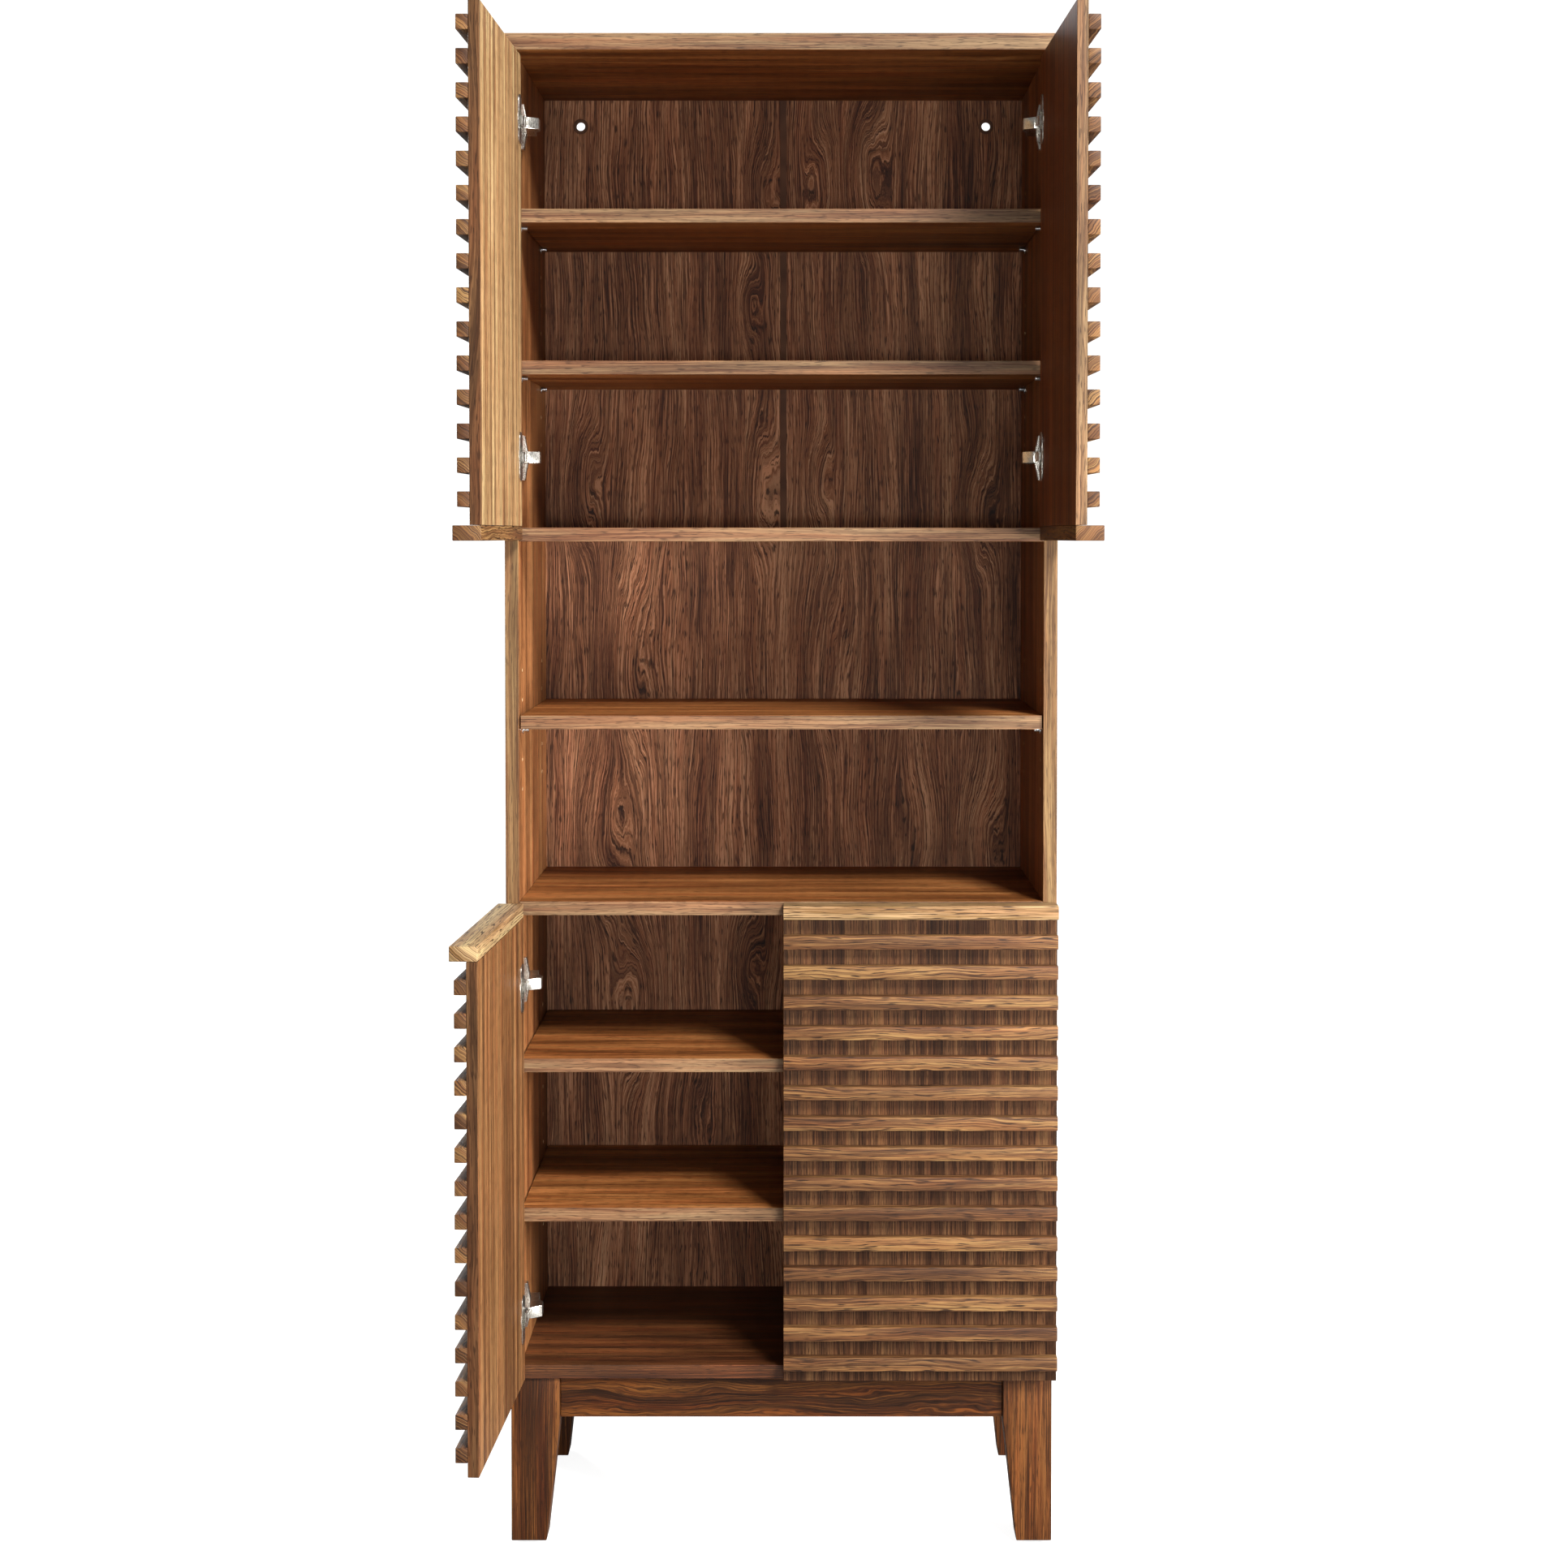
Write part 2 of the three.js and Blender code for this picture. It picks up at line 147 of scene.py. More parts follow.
def walnutFinish(name, **changes):
    look = {**walnut, **changes}
    material, tree = newMaterial(name)
    if look["attribute"]:
        spot = addNode(tree, "ShaderNodeAttribute", {"attribute_name": look["attribute"]}).outputs["Vector"]
    else:
        spot = addNode(tree, "ShaderNodeTexCoord").outputs["Object"]
    local = addNode(tree, "ShaderNodeMapping", None, {
        "Vector": spot, "Scale": (1000, 1000, 1000),  # from metres to millimetres
        "Rotation": [math.radians(a) for a in look["turn"]]})
    parts = addNode(tree, "ShaderNodeSeparateXYZ", None, {0: local})
    across = addNode(tree, "ShaderNodeMath", {"operation": "MULTIPLY_ADD"},
                     {0: parts.outputs["Y"], 1: look["depthSlant"], 2: parts.outputs["X"]})

    # the grain wanders slowly from side to side
    bend = look["bend"]
    bendPlace = addNode(tree, "ShaderNodeMapping", None, {
        "Vector": local, "Scale": (1 / bend["width"], 1 / bend["width"], 1 / bend["length"])})
    bendNoise = addNode(tree, "ShaderNodeTexNoise", None,
                        {"Vector": bendPlace, "Scale": 1, "Detail": 3, "Roughness": 0.45})
    grain = addNode(tree, "ShaderNodeMath", {"operation": "MULTIPLY_ADD"},
                    {0: bendNoise, 1: 2 * bend["amount"], 2: across})

    # crowns and knots push the grain aside, so its lines close round them unevenly
    rag = look["rag"]
    ragPlace = addNode(tree, "ShaderNodeMapping", None, {
        "Vector": local, "Scale": (1 / rag["width"], 1 / rag["width"], 1 / rag["length"])})
    ragNoise = addNode(tree, "ShaderNodeTexNoise", None,
                       {"Vector": ragPlace, "Scale": 1, "Detail": 4, "Roughness": 0.6})
    ragged = addNode(tree, "ShaderNodeVectorMath", {"operation": "MULTIPLY_ADD"}, {
        0: ragNoise.outputs["Color"], 1: (rag["across"], rag["across"], rag["along"]), 2: local})
    for figure in look["figures"]:
        x, z, width, height, push = figure
        near = addNode(tree, "ShaderNodeMapping", None, {
            "Vector": ragged, "Scale": (1 / width, 0, 1 / height),
            "Location": (-x / width, 0, -z / height)})
        ball = addNode(tree, "ShaderNodeTexGradient", {"gradient_type": "SPHERICAL"}, {"Vector": near})
        hill = addNode(tree, "ShaderNodeMapRange", {"interpolation_type": "SMOOTHERSTEP"},
                       {"Value": ball.outputs["Fac"]})
        grain = addNode(tree, "ShaderNodeMath", {"operation": "MULTIPLY_ADD"},
                        {0: hill, 1: push, 2: grain})

    # growth lines: each fades in over its ring and stops short, at uneven distances
    wander = look["lineWander"]
    unevenPlace = addNode(tree, "ShaderNodeCombineXYZ", None, {0: grain, 2: parts.outputs["Z"]})
    unevenScaled = addNode(tree, "ShaderNodeMapping", None, {
        "Vector": unevenPlace,
        "Scale": (wander["across"] / look["lineSpacing"], 1, 1 / wander["length"])})
    uneven = addNode(tree, "ShaderNodeTexNoise", None,
                     {"Vector": unevenScaled, "Scale": 1, "Detail": 2, "Roughness": 0.5})
    ringCount = addNode(tree, "ShaderNodeMath", {"operation": "MULTIPLY_ADD"},
                        {0: grain, 1: 1 / look["lineSpacing"], 2: uneven})
    ringWander = addNode(tree, "ShaderNodeMath", {"operation": "MULTIPLY_ADD"},
                         {0: uneven, 1: wander["amount"], 2: ringCount})
    ring = addNode(tree, "ShaderNodeMath", {"operation": "FRACT"}, {0: ringWander})
    lineMask = addNode(tree, "ShaderNodeValToRGB", {
        "stops": [(0, 0.0), (0.45, 0.03), (0.74, 0.32), (0.9, 1.0), (0.97, 0.8), (1.0, 0.0)]}, {0: ring})

    # broad stripes, fibre streaks and pores all follow the bent grain
    noises = {}
    for part, detail in (("band", 3), ("fibre", 4), ("pores", 1)):
        size = look[part]
        stretched = addNode(tree, "ShaderNodeMapping", None, {
            "Vector": unevenPlace, "Scale": (1 / size["width"], 1, 1 / size["length"])})
        noises[part] = addNode(tree, "ShaderNodeTexNoise", None,
                               {"Vector": stretched, "Scale": 1, "Detail": detail, "Roughness": 0.62})

    bandTone = addNode(tree, "ShaderNodeMapRange", None,
                       {"Value": noises["band"], "From Min": look["bandLow"], "From Max": look["bandHigh"]})
    fibreTone = addNode(tree, "ShaderNodeMapRange", None,
                        {"Value": noises["fibre"], "From Min": 0.36, "From Max": 0.64,
                         "To Min": -1, "To Max": 1})
    tone = addNode(tree, "ShaderNodeMath", {"operation": "MULTIPLY_ADD", "use_clamp": True},
                   {0: fibreTone, 1: look["fibreStrength"] * 0.5, 2: bandTone})
    body = addNode(tree, "ShaderNodeValToRGB",
                   {"stops": [(0.0, look["dark"]), (0.5, look["mid"]), (1.0, look["light"])]}, {0: tone})

    # some stripes are redder than the rest
    streak = look["blushStreak"]
    blushPlace = addNode(tree, "ShaderNodeMapping", None, {
        "Vector": unevenPlace, "Location": streak["offset"],
        "Scale": (1 / streak["width"], 1, 1 / streak["length"])})
    blushNoise = addNode(tree, "ShaderNodeTexNoise", None,
                         {"Vector": blushPlace, "Scale": 1, "Detail": 3, "Roughness": 0.6})
    blushFactor = addNode(tree, "ShaderNodeMapRange", None, {
        "Value": blushNoise, "From Min": 0.42, "From Max": 0.66, "To Max": look["blushStrength"]})
    blushed = addNode(tree, "ShaderNodeMix", {"data_type": "RGBA", "blend_type": "MULTIPLY"},
                      {"Factor": blushFactor})
    tree.links.new(body.outputs[0], blushed.inputs[6])
    blushed.inputs[7].default_value = srgb(look["blush"])

    # growth lines are strong in some stripes and faint in others
    lineAmount = addNode(tree, "ShaderNodeMath", {"operation": "MULTIPLY"},
                         {0: lineMask.outputs[0], 1: look["lineStrength"]})
    lineVary = addNode(tree, "ShaderNodeMapRange", None,
                       {"Value": noises["fibre"], "From Min": 0.35, "From Max": 0.62,
                        "To Min": 1, "To Max": 0.35})
    lineFactor = addNode(tree, "ShaderNodeMath", {"operation": "MULTIPLY"}, {0: lineAmount, 1: lineVary})
    lined = addNode(tree, "ShaderNodeMix", {"data_type": "RGBA"}, {"Factor": lineFactor})
    tree.links.new(blushed.outputs[2], lined.inputs[6])
    lined.inputs[7].default_value = srgb(look["line"])

    poreMask = addNode(tree, "ShaderNodeMapRange", {"interpolation_type": "SMOOTHSTEP"},
                       {"Value": noises["pores"], "From Min": 0.55, "From Max": 0.66})
    poreFactor = addNode(tree, "ShaderNodeMath", {"operation": "MULTIPLY"},
                         {0: poreMask, 1: look["poreStrength"]})
    colour = addNode(tree, "ShaderNodeMix", {"data_type": "RGBA"}, {"Factor": poreFactor})
    tree.links.new(lined.outputs[2], colour.inputs[6])
    colour.inputs[7].default_value = srgb(look["pore"])

    gloss = addNode(tree, "ShaderNodeMapRange", None,
                    {"Value": noises["fibre"], "From Min": 0.3, "From Max": 0.7,
                     "To Min": look["roughness"][0], "To Max": look["roughness"][1]})
    depth = addNode(tree, "ShaderNodeMath", {"operation": "ADD"}, {0: poreFactor, 1: lineFactor})
    relief = addNode(tree, "ShaderNodeBump", {"invert": True},
                     {"Height": depth, "Strength": 0.5, "Distance": look["bump"] * mm})
    shader = addNode(tree, "ShaderNodeBsdfPrincipled", None, {
        "Base Color": colour.outputs[2], "Roughness": gloss, "Normal": relief,
        "IOR": 1.5, "Specular IOR Level": look["specular"], "Coat Weight": look["coat"],
        "Coat Roughness": look["coatRoughness"]})
    closeMaterial(tree, shader)
    return material


# Crowns in the backs, in the veneer's own figure: x, z, width, height, push
backFigures = [
    (-199, 1035, 60, 195, 24), (-226, 823, 56, 182, 27), (256, 800, 43, 143, 21),
    (190, 830, 56, 156, -14), (54, 1030, 56, 195, 16), (107, 1662, 46, 143, 28),
    (54, 1650, 32, 104, -20), (-27, 1638, 38, 117, 19), (-254, 1266, 44, 130, 20),
    (-27, 1266, 38, 143, 19), (49, 1278, 32, 91, 17), (254, 1230, 43, 117, 24),
    (-40, 1490, 25, 78, 16), (-180, 590, 49, 156, -24), (-42, 659, 29, 91, 16),
    (-118, 447, 44, 143, 20),
]
acrossTurn = (0, -90, 0)  # lays the grain along the cabinet's width

# Sliced walnut on chipboard, satin lacquer: fine straight grain with light and dark ribbons
sideVeneer = walnutFinish(
    "walnut_veneer_upright_satin", light="#B07D4E", mid="#8D5C33", dark="#5A351B",
    bend={"width": 90, "length": 900, "amount": 9})
# Crown-cut walnut on thin board, nearly matt: dark lines that close into arches and knots
backVeneer = walnutFinish(
    "walnut_crown_veneer_matt", light="#BF8D69", mid="#86593C", dark="#482818", line="#170803",
    pore="#150803", lineSpacing=5, lineStrength=0.75, poreStrength=0.8, fibreStrength=1.0,
    blushStrength=0.3, coat=0.0,
    figures=backFigures, bandLow=0.27, bandHigh=0.77, specular=0.2,
    bend={"width": 85, "length": 380, "amount": 26}, roughness=(0.56, 0.7))
# The same sheets laid across the shelves and boards
shelfVeneer = walnutFinish(
    "walnut_veneer_across_satin", turn=acrossTurn, light="#AD7745", mid="#86552B", dark="#553015",
    specular=0.1, bend={"width": 70, "length": 900, "amount": 8})
# The bottom board, much darker: painted shade for the dim light at the bottom of the cabinet
bottomShadedVeneer = walnutFinish(
    "walnut_bottom_board_painted_shade", turn=acrossTurn, light="#6E4222", mid="#4B2B14", dark="#2C1508",
    bend={"width": 70, "length": 900, "amount": 8})
# Thin glued strips on the boards' edges: greyer and plainer, with short dark pores
bandUpright = walnutFinish(
    "walnut_edge_strip_upright", light="#836844", mid="#6E5333", dark="#4E351C", lineStrength=0.3,
    lineSpacing=7, poreStrength=0.5, band={"width": 14, "length": 380})
bandAcross = walnutFinish(
    "walnut_edge_strip_across", turn=acrossTurn, light="#8C7050", mid="#755B40", dark="#543925",
    lineStrength=0.4, lineSpacing=7, poreStrength=0.6, band={"width": 14, "length": 380},
    bend={"width": 26, "length": 240, "amount": 5})
# Door leaves: quarter-cut sheets with clear tan and brown stripes
doorVeneer = walnutFinish(
    "walnut_door_veneer_satin", attribute="grain", light="#C6AD7E", mid="#98784F", dark="#5A3F28",
    lineSpacing=9, band={"width": 18, "length": 1400}, bend={"width": 120, "length": 1200, "amount": 8})
# The same on the upper right leaf, redder and much darker: painted shade, standing for the shade on the
# leaf's inner face
shadedDoorVeneer = walnutFinish(
    "walnut_door_veneer_painted_shade", attribute="grain", light="#945D34", mid="#6D3C1D", dark="#3C1C0B",
    lineSpacing=8, band={"width": 16, "length": 1400}, bend={"width": 120, "length": 1200, "amount": 8})
# The same on the lower leaves, between the two in tone: painted shade for the light falling off toward the
# floor
lowerShadedDoorVeneer = walnutFinish(
    "walnut_lower_door_veneer_painted_shade", attribute="grain", light="#9C7349", mid="#78532F", dark="#472B15",
    lineSpacing=9, band={"width": 18, "length": 1400}, bend={"width": 120, "length": 1200, "amount": 8})
# Glued strip round the leaves' rims: plain and fine, with few lines
rimVeneer = walnutFinish(
    "walnut_door_rim_strip", attribute="grain", light="#917655", mid="#72593C", dark="#4E3924",
    lineSpacing=7, lineStrength=0.3, band={"width": 14, "length": 380})
# The left doors' strips are darker and a little less glossy
darkRimVeneer = walnutFinish(
    "walnut_dark_door_rim_strip", attribute="grain", light="#694B2F", mid="#523720", dark="#372211",
    lineSpacing=7, lineStrength=0.3, band={"width": 14, "length": 380}, specular=0.12)
# Outer face of the leaves, behind the slats: darker, with close dark streaks; the darker tone is painted
# shade for the recesses between the slats
shadedDoorFaceVeneer = walnutFinish(
    "walnut_door_face_painted_shade_streaks", attribute="grain", light="#604329", mid="#482E1C", dark="#2B190C",
    line="#170A05", lineStrength=0.8, lineSpacing=13, band={"width": 22, "length": 900},
    fibreStrength=1.0, poreStrength=0.7, specular=0.1, blushStrength=0.3,
    bend={"width": 120, "length": 1200, "amount": 8})
# Solid walnut rails, planed and lacquered: paler than the slats
railWood = walnutFinish(
    "walnut_solid_rails_planed", attribute="grain", light="#B69D6F", mid="#977C58", dark="#6E5530",
    lineSpacing=5, lineStrength=0.6, band={"width": 30, "length": 420}, poreStrength=0.9,
    blushStrength=0.4,
    pores={"width": 1.5, "length": 28},
    bend={"width": 26, "length": 260, "amount": 5})
# Solid walnut bars, planed and lacquered: livelier grain that runs out of the faces
barWood = walnutFinish(
    "walnut_solid_bars_planed", attribute="grain", light="#86653C", mid="#604024", dark="#371F0D",
    lineSpacing=4, lineStrength=0.9, band={"width": 30, "length": 420}, poreStrength=0.95,
    blushStrength=0.4,
    pores={"width": 1.5, "length": 28},
    bend={"width": 26, "length": 120, "amount": 9})
# Solid walnut legs: straight grain down the leg; the dark tone is partly painted shade for the dim light
# near the floor
legWood = walnutFinish(
    "walnut_solid_legs_painted_shade", light="#714621", mid="#46260E", dark="#231004", lineStrength=0.8,
    specular=0.14, bend={"width": 60, "length": 500, "amount": 9})
# Solid walnut apron boards: wavy dark figure along the board; the dark tone is partly painted shade for the
# dim light under the cabinet
apronWood = walnutFinish(
    "walnut_apron_wavy_painted_shade", turn=acrossTurn, light="#623A16", mid="#391E09", dark="#1C0C02", line="#120601",
    lineStrength=0.75, specular=0.12, bend={"width": 34, "length": 120, "amount": 17})


def chipboardFinish():
    # Drilled or sawn chipboard: pale glued flakes, rough and dry
    look = {"flake": 2.2, "light": "#D9BE96", "dark": "#A98457", "roughness": 0.85}
    material, tree = newMaterial("chipboard_drilled")
    spot = addNode(tree, "ShaderNodeTexCoord")
    flakes = addNode(tree, "ShaderNodeTexVoronoi", None,
                     {"Vector": spot.outputs["Object"], "Scale": 1 / (look["flake"] * mm)})
    colour = addNode(tree, "ShaderNodeValToRGB",
                     {"stops": [(0.0, look["light"]), (1.0, look["dark"])]},
                     {0: flakes.outputs["Distance"]})
    relief = addNode(tree, "ShaderNodeBump", None,
                     {"Height": flakes.outputs["Distance"], "Strength": 0.5, "Distance": 0.3 * mm})
    shader = addNode(tree, "ShaderNodeBsdfPrincipled", None, {
        "Base Color": colour.outputs[0], "Roughness": look["roughness"], "Normal": relief})
    closeMaterial(tree, shader)
    return material


def hardboardFinish():
    # Bare rear of the backs, pressed fibreboard: even brown with a felted speckle
    look = {"speckle": 1.6, "cloud": 60, "light": "#8A6A4C", "dark": "#6A4D35", "roughness": 0.8}
    material, tree = newMaterial("hardboard_pressed_bare")
    spot = addNode(tree, "ShaderNodeTexCoord")
    speckle = addNode(tree, "ShaderNodeTexNoise", None, {
        "Vector": spot.outputs["Object"], "Scale": 1 / (look["speckle"] * mm), "Detail": 2})
    cloud = addNode(tree, "ShaderNodeTexNoise", None, {
        "Vector": spot.outputs["Object"], "Scale": 1 / (look["cloud"] * mm), "Detail": 2})
    both = addNode(tree, "ShaderNodeMath", {"operation": "MULTIPLY_ADD"}, {0: cloud, 1: 0.6, 2: speckle})
    colour = addNode(tree, "ShaderNodeValToRGB",
                     {"stops": [(0.55, look["dark"]), (1.0, look["light"])]}, {0: both})
    relief = addNode(tree, "ShaderNodeBump", None,
                     {"Height": speckle, "Strength": 0.4, "Distance": 0.1 * mm})
    shader = addNode(tree, "ShaderNodeBsdfPrincipled", None, {
        "Base Color": colour.outputs[0], "Roughness": look["roughness"], "Normal": relief})
    closeMaterial(tree, shader)
    return material


def metalFinish(name, look):
    material, tree = newMaterial(name)
    spot = addNode(tree, "ShaderNodeTexCoord")
    rub = addNode(tree, "ShaderNodeMapping", None, {
        "Vector": spot.outputs["Object"],
        "Scale": (1 / (look["rubWidth"] * mm), 1 / (look["rubWidth"] * mm),
                  1 / (look["rubLength"] * mm))})
    rubbed = addNode(tree, "ShaderNodeTexNoise", None, {"Vector": rub, "Scale": 1, "Detail": 3})
    stain = addNode(tree, "ShaderNodeTexNoise", None, {
        "Vector": spot.outputs["Object"], "Scale": 1 / (look["stain"] * mm), "Detail": 2})
    colour = addNode(tree, "ShaderNodeValToRGB",
                     {"stops": [(0.3, look["dark"]), (0.7, look["light"])]}, {0: stain})
    gloss = addNode(tree, "ShaderNodeMapRange", None, {
        "Value": rubbed, "From Min": 0.3, "From Max": 0.7,
        "To Min": look["roughness"][0], "To Max": look["roughness"][1]})
    relief = addNode(tree, "ShaderNodeBump", None,
                     {"Height": rubbed, "Strength": 0.25, "Distance": 0.02 * mm})
    shader = addNode(tree, "ShaderNodeBsdfPrincipled", None, {
        "Base Color": colour.outputs[0], "Metallic": 1.0, "Roughness": gloss, "Normal": relief})
    closeMaterial(tree, shader)
    return material


def plasticFinish(name, look):
    material, tree = newMaterial(name)
    spot = addNode(tree, "ShaderNodeTexCoord")
    grit = addNode(tree, "ShaderNodeTexNoise", None, {
        "Vector": spot.outputs["Object"], "Scale": 1 / (look["grit"] * mm), "Detail": 2})
    cloud = addNode(tree, "ShaderNodeTexNoise", None, {
        "Vector": spot.outputs["Object"], "Scale": 1 / (look["cloud"] * mm), "Detail": 1})
    colour = addNode(tree, "ShaderNodeValToRGB",
                     {"stops": [(0.35, look["dark"]), (0.65, look["light"])]}, {0: cloud})
    gloss = addNode(tree, "ShaderNodeMapRange", None, {
        "Value": grit, "To Min": look["roughness"][0], "To Max": look["roughness"][1]})
    relief = addNode(tree, "ShaderNodeBump", None,
                     {"Height": grit, "Strength": 0.3, "Distance": 0.03 * mm})
    shader = addNode(tree, "ShaderNodeBsdfPrincipled", None, {
        "Base Color": colour.outputs[0], "Roughness": gloss, "Normal": relief, "IOR": 1.49})
    closeMaterial(tree, shader)
    return material


chipboard = chipboardFinish()
hardboard = hardboardFinish()
# Pressed steel, nickel plated: bright and slightly warm, with faint rub marks
nickel = metalFinish("steel_nickel_plated", {
    "light": "#E0DCD4", "dark": "#BDB8AE", "roughness": (0.2, 0.36), "rubWidth": 0.5, "rubLength": 4,
    "stain": 9})
# Turned steel pins, zinc plated: cooler and duller
zinc = metalFinish("steel_zinc_plated", {
    "light": "#D3D6D8", "dark": "#B4B8BB", "roughness": (0.24, 0.4), "rubWidth": 0.4, "rubLength": 2,
    "stain": 5})
# Extruded and moulded brown plastic: even, low sheen
brownPlastic = plasticFinish("pvc_brown_extruded", {
    "light": "#5A3A26", "dark": "#4A2D1B", "roughness": (0.75, 0.85), "grit": 0.6, "cloud": 30})
# Moulded pale polyamide glides: slightly waxy
glidePlastic = plasticFinish("polyamide_pale_moulded", {
    "light": "#D9D5CC", "dark": "#C9C4B9", "roughness": (0.4, 0.55), "grit": 0.5, "cloud": 8})
print("materials ready")


def boxShape(lo, hi):
    shape = bmesh.new()
    bmesh.ops.create_cube(shape, size=1)
    bmesh.ops.scale(shape, vec=Vector(hi) - Vector(lo), verts=shape.verts)
    bmesh.ops.translate(shape, vec=(Vector(lo) + Vector(hi)) / 2, verts=shape.verts)
    return shape


def roundEdges(shape, edges, radius, segments=2):
    bmesh.ops.bevel(shape, geom=edges, offset=radius * mm, offset_type="OFFSET", segments=segments,
                    profile=0.5, affect="EDGES", clamp_overlap=True, material=-1)


def sharpEdges(shape, degrees=30):
    limit = math.radians(degrees)
    return [e for e in shape.edges if len(e.link_faces) == 2 and e.calc_face_angle() > limit]


def rodShape(start, along, radius, length, sides=32):
    # closed round bar from a point along a direction
    shape = bmesh.new()
    turn = Vector((0, 0, 1)).rotation_difference(Vector(along)).to_matrix().to_4x4()
    middle = Vector(start) + Vector(along) * length / 2
    bmesh.ops.create_cone(shape, cap_ends=True, segments=sides, radius1=radius, radius2=radius,
                          depth=length, matrix=Matrix.Translation(middle) @ turn)
    return shape


def addShape(target, extra, material=0):
    # moves one shape's faces into another
    for face in extra.faces:
        face.material_index = material
    mesh = bpy.data.meshes.new("part")
    extra.to_mesh(mesh)
    extra.free()
    target.from_mesh(mesh)
    bpy.data.meshes.remove(mesh)


crispAngle = math.radians(18)


def crispEdges(shape):
    # round faces read as round, and every edge sharper than that stays crisp
    for face in shape.faces:
        face.smooth = True
    for edge in shape.edges:
        edge.smooth = len(edge.link_faces) == 2 and edge.calc_face_angle() < crispAngle


def meshOf(shape, name):
    bmesh.ops.recalc_face_normals(shape, faces=shape.faces)
    crispEdges(shape)
    mesh = bpy.data.meshes.new(name)
    shape.to_mesh(mesh)
    shape.free()
    return mesh


def cutMesh(mesh, cutter, materials):
    # mesh less cutter; both are used up, and each keeps its faces' places in the list of materials
    for each in (mesh, cutter):
        for material in materials:
            each.materials.append(material)
    piece = bpy.data.objects.new("blank", mesh)
    tool = bpy.data.objects.new("cutter", cutter)
    for each in (piece, tool):
        scene.collection.objects.link(each)
    cut = piece.modifiers.new("cut", "BOOLEAN")
    cut.operation = "DIFFERENCE"
    cut.solver = "EXACT"
    cut.object = tool
    bpy.context.view_layer.update()
    graph = bpy.context.evaluated_depsgraph_get()
    result = bpy.data.meshes.new_from_object(piece.evaluated_get(graph), depsgraph=graph)
    result.name = mesh.name
    for each in (piece, tool):
        bpy.data.objects.remove(each)
    shape = bmesh.new()
    shape.from_mesh(result)
    crispEdges(shape)
    shape.to_mesh(result)
    shape.free()
    return result


def place(name, mesh, materials, body, stands=()):
    mesh.name = name
    for material in materials[len(mesh.materials):]:  # a cut mesh has them already
        mesh.materials.append(material)
    piece = bpy.data.objects.new(name, mesh)
    scene.collection.objects.link(piece)
    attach(piece, body)
    if stands:
        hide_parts(*stands)
    return piece


def paintFaces(shape, choose):
    for face in shape.faces:
        face.material_index = choose(face.normal)


cameraView = {"x": 26.5, "y": -3014.6, "z": 1181, "lens": 59.8, "sensor": 36,
              "tiltDown": 1.6, "horizonAbove": 0.1585, "aside": -0.0128}


def makeCamera():
    data = bpy.data.cameras.new("camera")
    data.lens = cameraView["lens"]
    data.sensor_width = cameraView["sensor"]
    tilt = math.radians(cameraView["tiltDown"])
    data.shift_x = cameraView["aside"]
    data.shift_y = data.lens / data.sensor_width * math.tan(tilt) - cameraView["horizonAbove"]
    camera = bpy.data.objects.new("camera", data)
    camera.location = Vector((cameraView["x"], cameraView["y"], cameraView["z"])) * mm
    camera.rotation_euler = (math.pi / 2 - tilt, 0, 0)
    scene.collection.objects.link(camera)
    scene.camera = camera


makeCamera()
print("camera ready")


past = 10 * mm  # how far a cutter reaches beyond what it cuts
boardSizes = {"edge": 0.5, "edgeSegments": 2, "backEdge": 0.3, "groovePlay": 0.3}
pinSizes = {"hole": 5, "depth": 9, "lead": 2, "pitch": 35, "spare": 2, "frontRow": 37, "rearRow": 265}
shelfNames = [f"shelf_{n}" for n in ("lower_1", "lower_2", "open", "upper_1", "upper_2")]


def pinLevels():
    levels = []
    for name in shelfNames:
        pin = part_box(name)[0].z - pinSizes["hole"] / 2 * mm
        for step in range(-pinSizes["spare"], pinSizes["spare"] + 1):
            level = pin + step * pinSizes["pitch"] * mm
            if all(abs(other - level) > pinSizes["pitch"] / 2 * mm for other in levels):
                levels.append(level)
    return levels


def makeSide(name, side):
    lo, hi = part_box(name)
    shape = boxShape(lo, hi)
    roundEdges(shape, shape.edges[:], boardSizes["edge"], boardSizes["edgeSegments"])
    paintFaces(shape, lambda n: 1 if n.y < -0.4 else 0)
    inner = (hi.x if side < 0 else lo.x)
    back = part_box("back_lower")
    grooveBottom = back[1].x if side > 0 else -back[0].x
    # groove for the backs, and the rows of holes for the shelf pins
    play = boardSizes["groovePlay"] * mm
    cutter = boxShape((min(side * grooveBottom, inner - side * mm), back[0].y - play, lo.z - past),
                      (max(side * grooveBottom, inner - side * mm), back[1].y + play, hi.z + past))
    for face in cutter.faces:
        face.material_index = 2
    for level in pinLevels():
        for row in (pinSizes["frontRow"], pinSizes["rearRow"]):
            start = (inner - side * pinSizes["lead"] * mm, row * mm, level)
            addShape(cutter, rodShape(start, (side, 0, 0), pinSizes["hole"] / 2 * mm,
                                      (pinSizes["depth"] + pinSizes["lead"]) * mm, 20), 2)
    finishes = [sideVeneer, bandUpright, chipboard]
    mesh = cutMesh(meshOf(shape, name), meshOf(cutter, "cutter"), finishes)
    place(name + "_panel", mesh, finishes, carcass, [name])


def makeBoard(name):
    lo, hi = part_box(name)
    shape = boxShape(lo, hi)
    roundEdges(shape, shape.edges[:], boardSizes["edge"], boardSizes["edgeSegments"])
    paintFaces(shape, lambda n: 1 if abs(n.z) < 0.5 else 0)
    # the bottom board carries painted shade on all its faces
    finishes = [bottomShadedVeneer, bottomShadedVeneer] if name == "bottom_panel" else [shelfVeneer, bandAcross]
    place(name + "_board", meshOf(shape, name), finishes, carcass, [name])


makeSide("side_left", -1)
makeSide("side_right", 1)
for boardName in ("top_panel", "bottom_panel", "divider_lower", "divider_upper", *shelfNames):
    makeBoard(boardName)


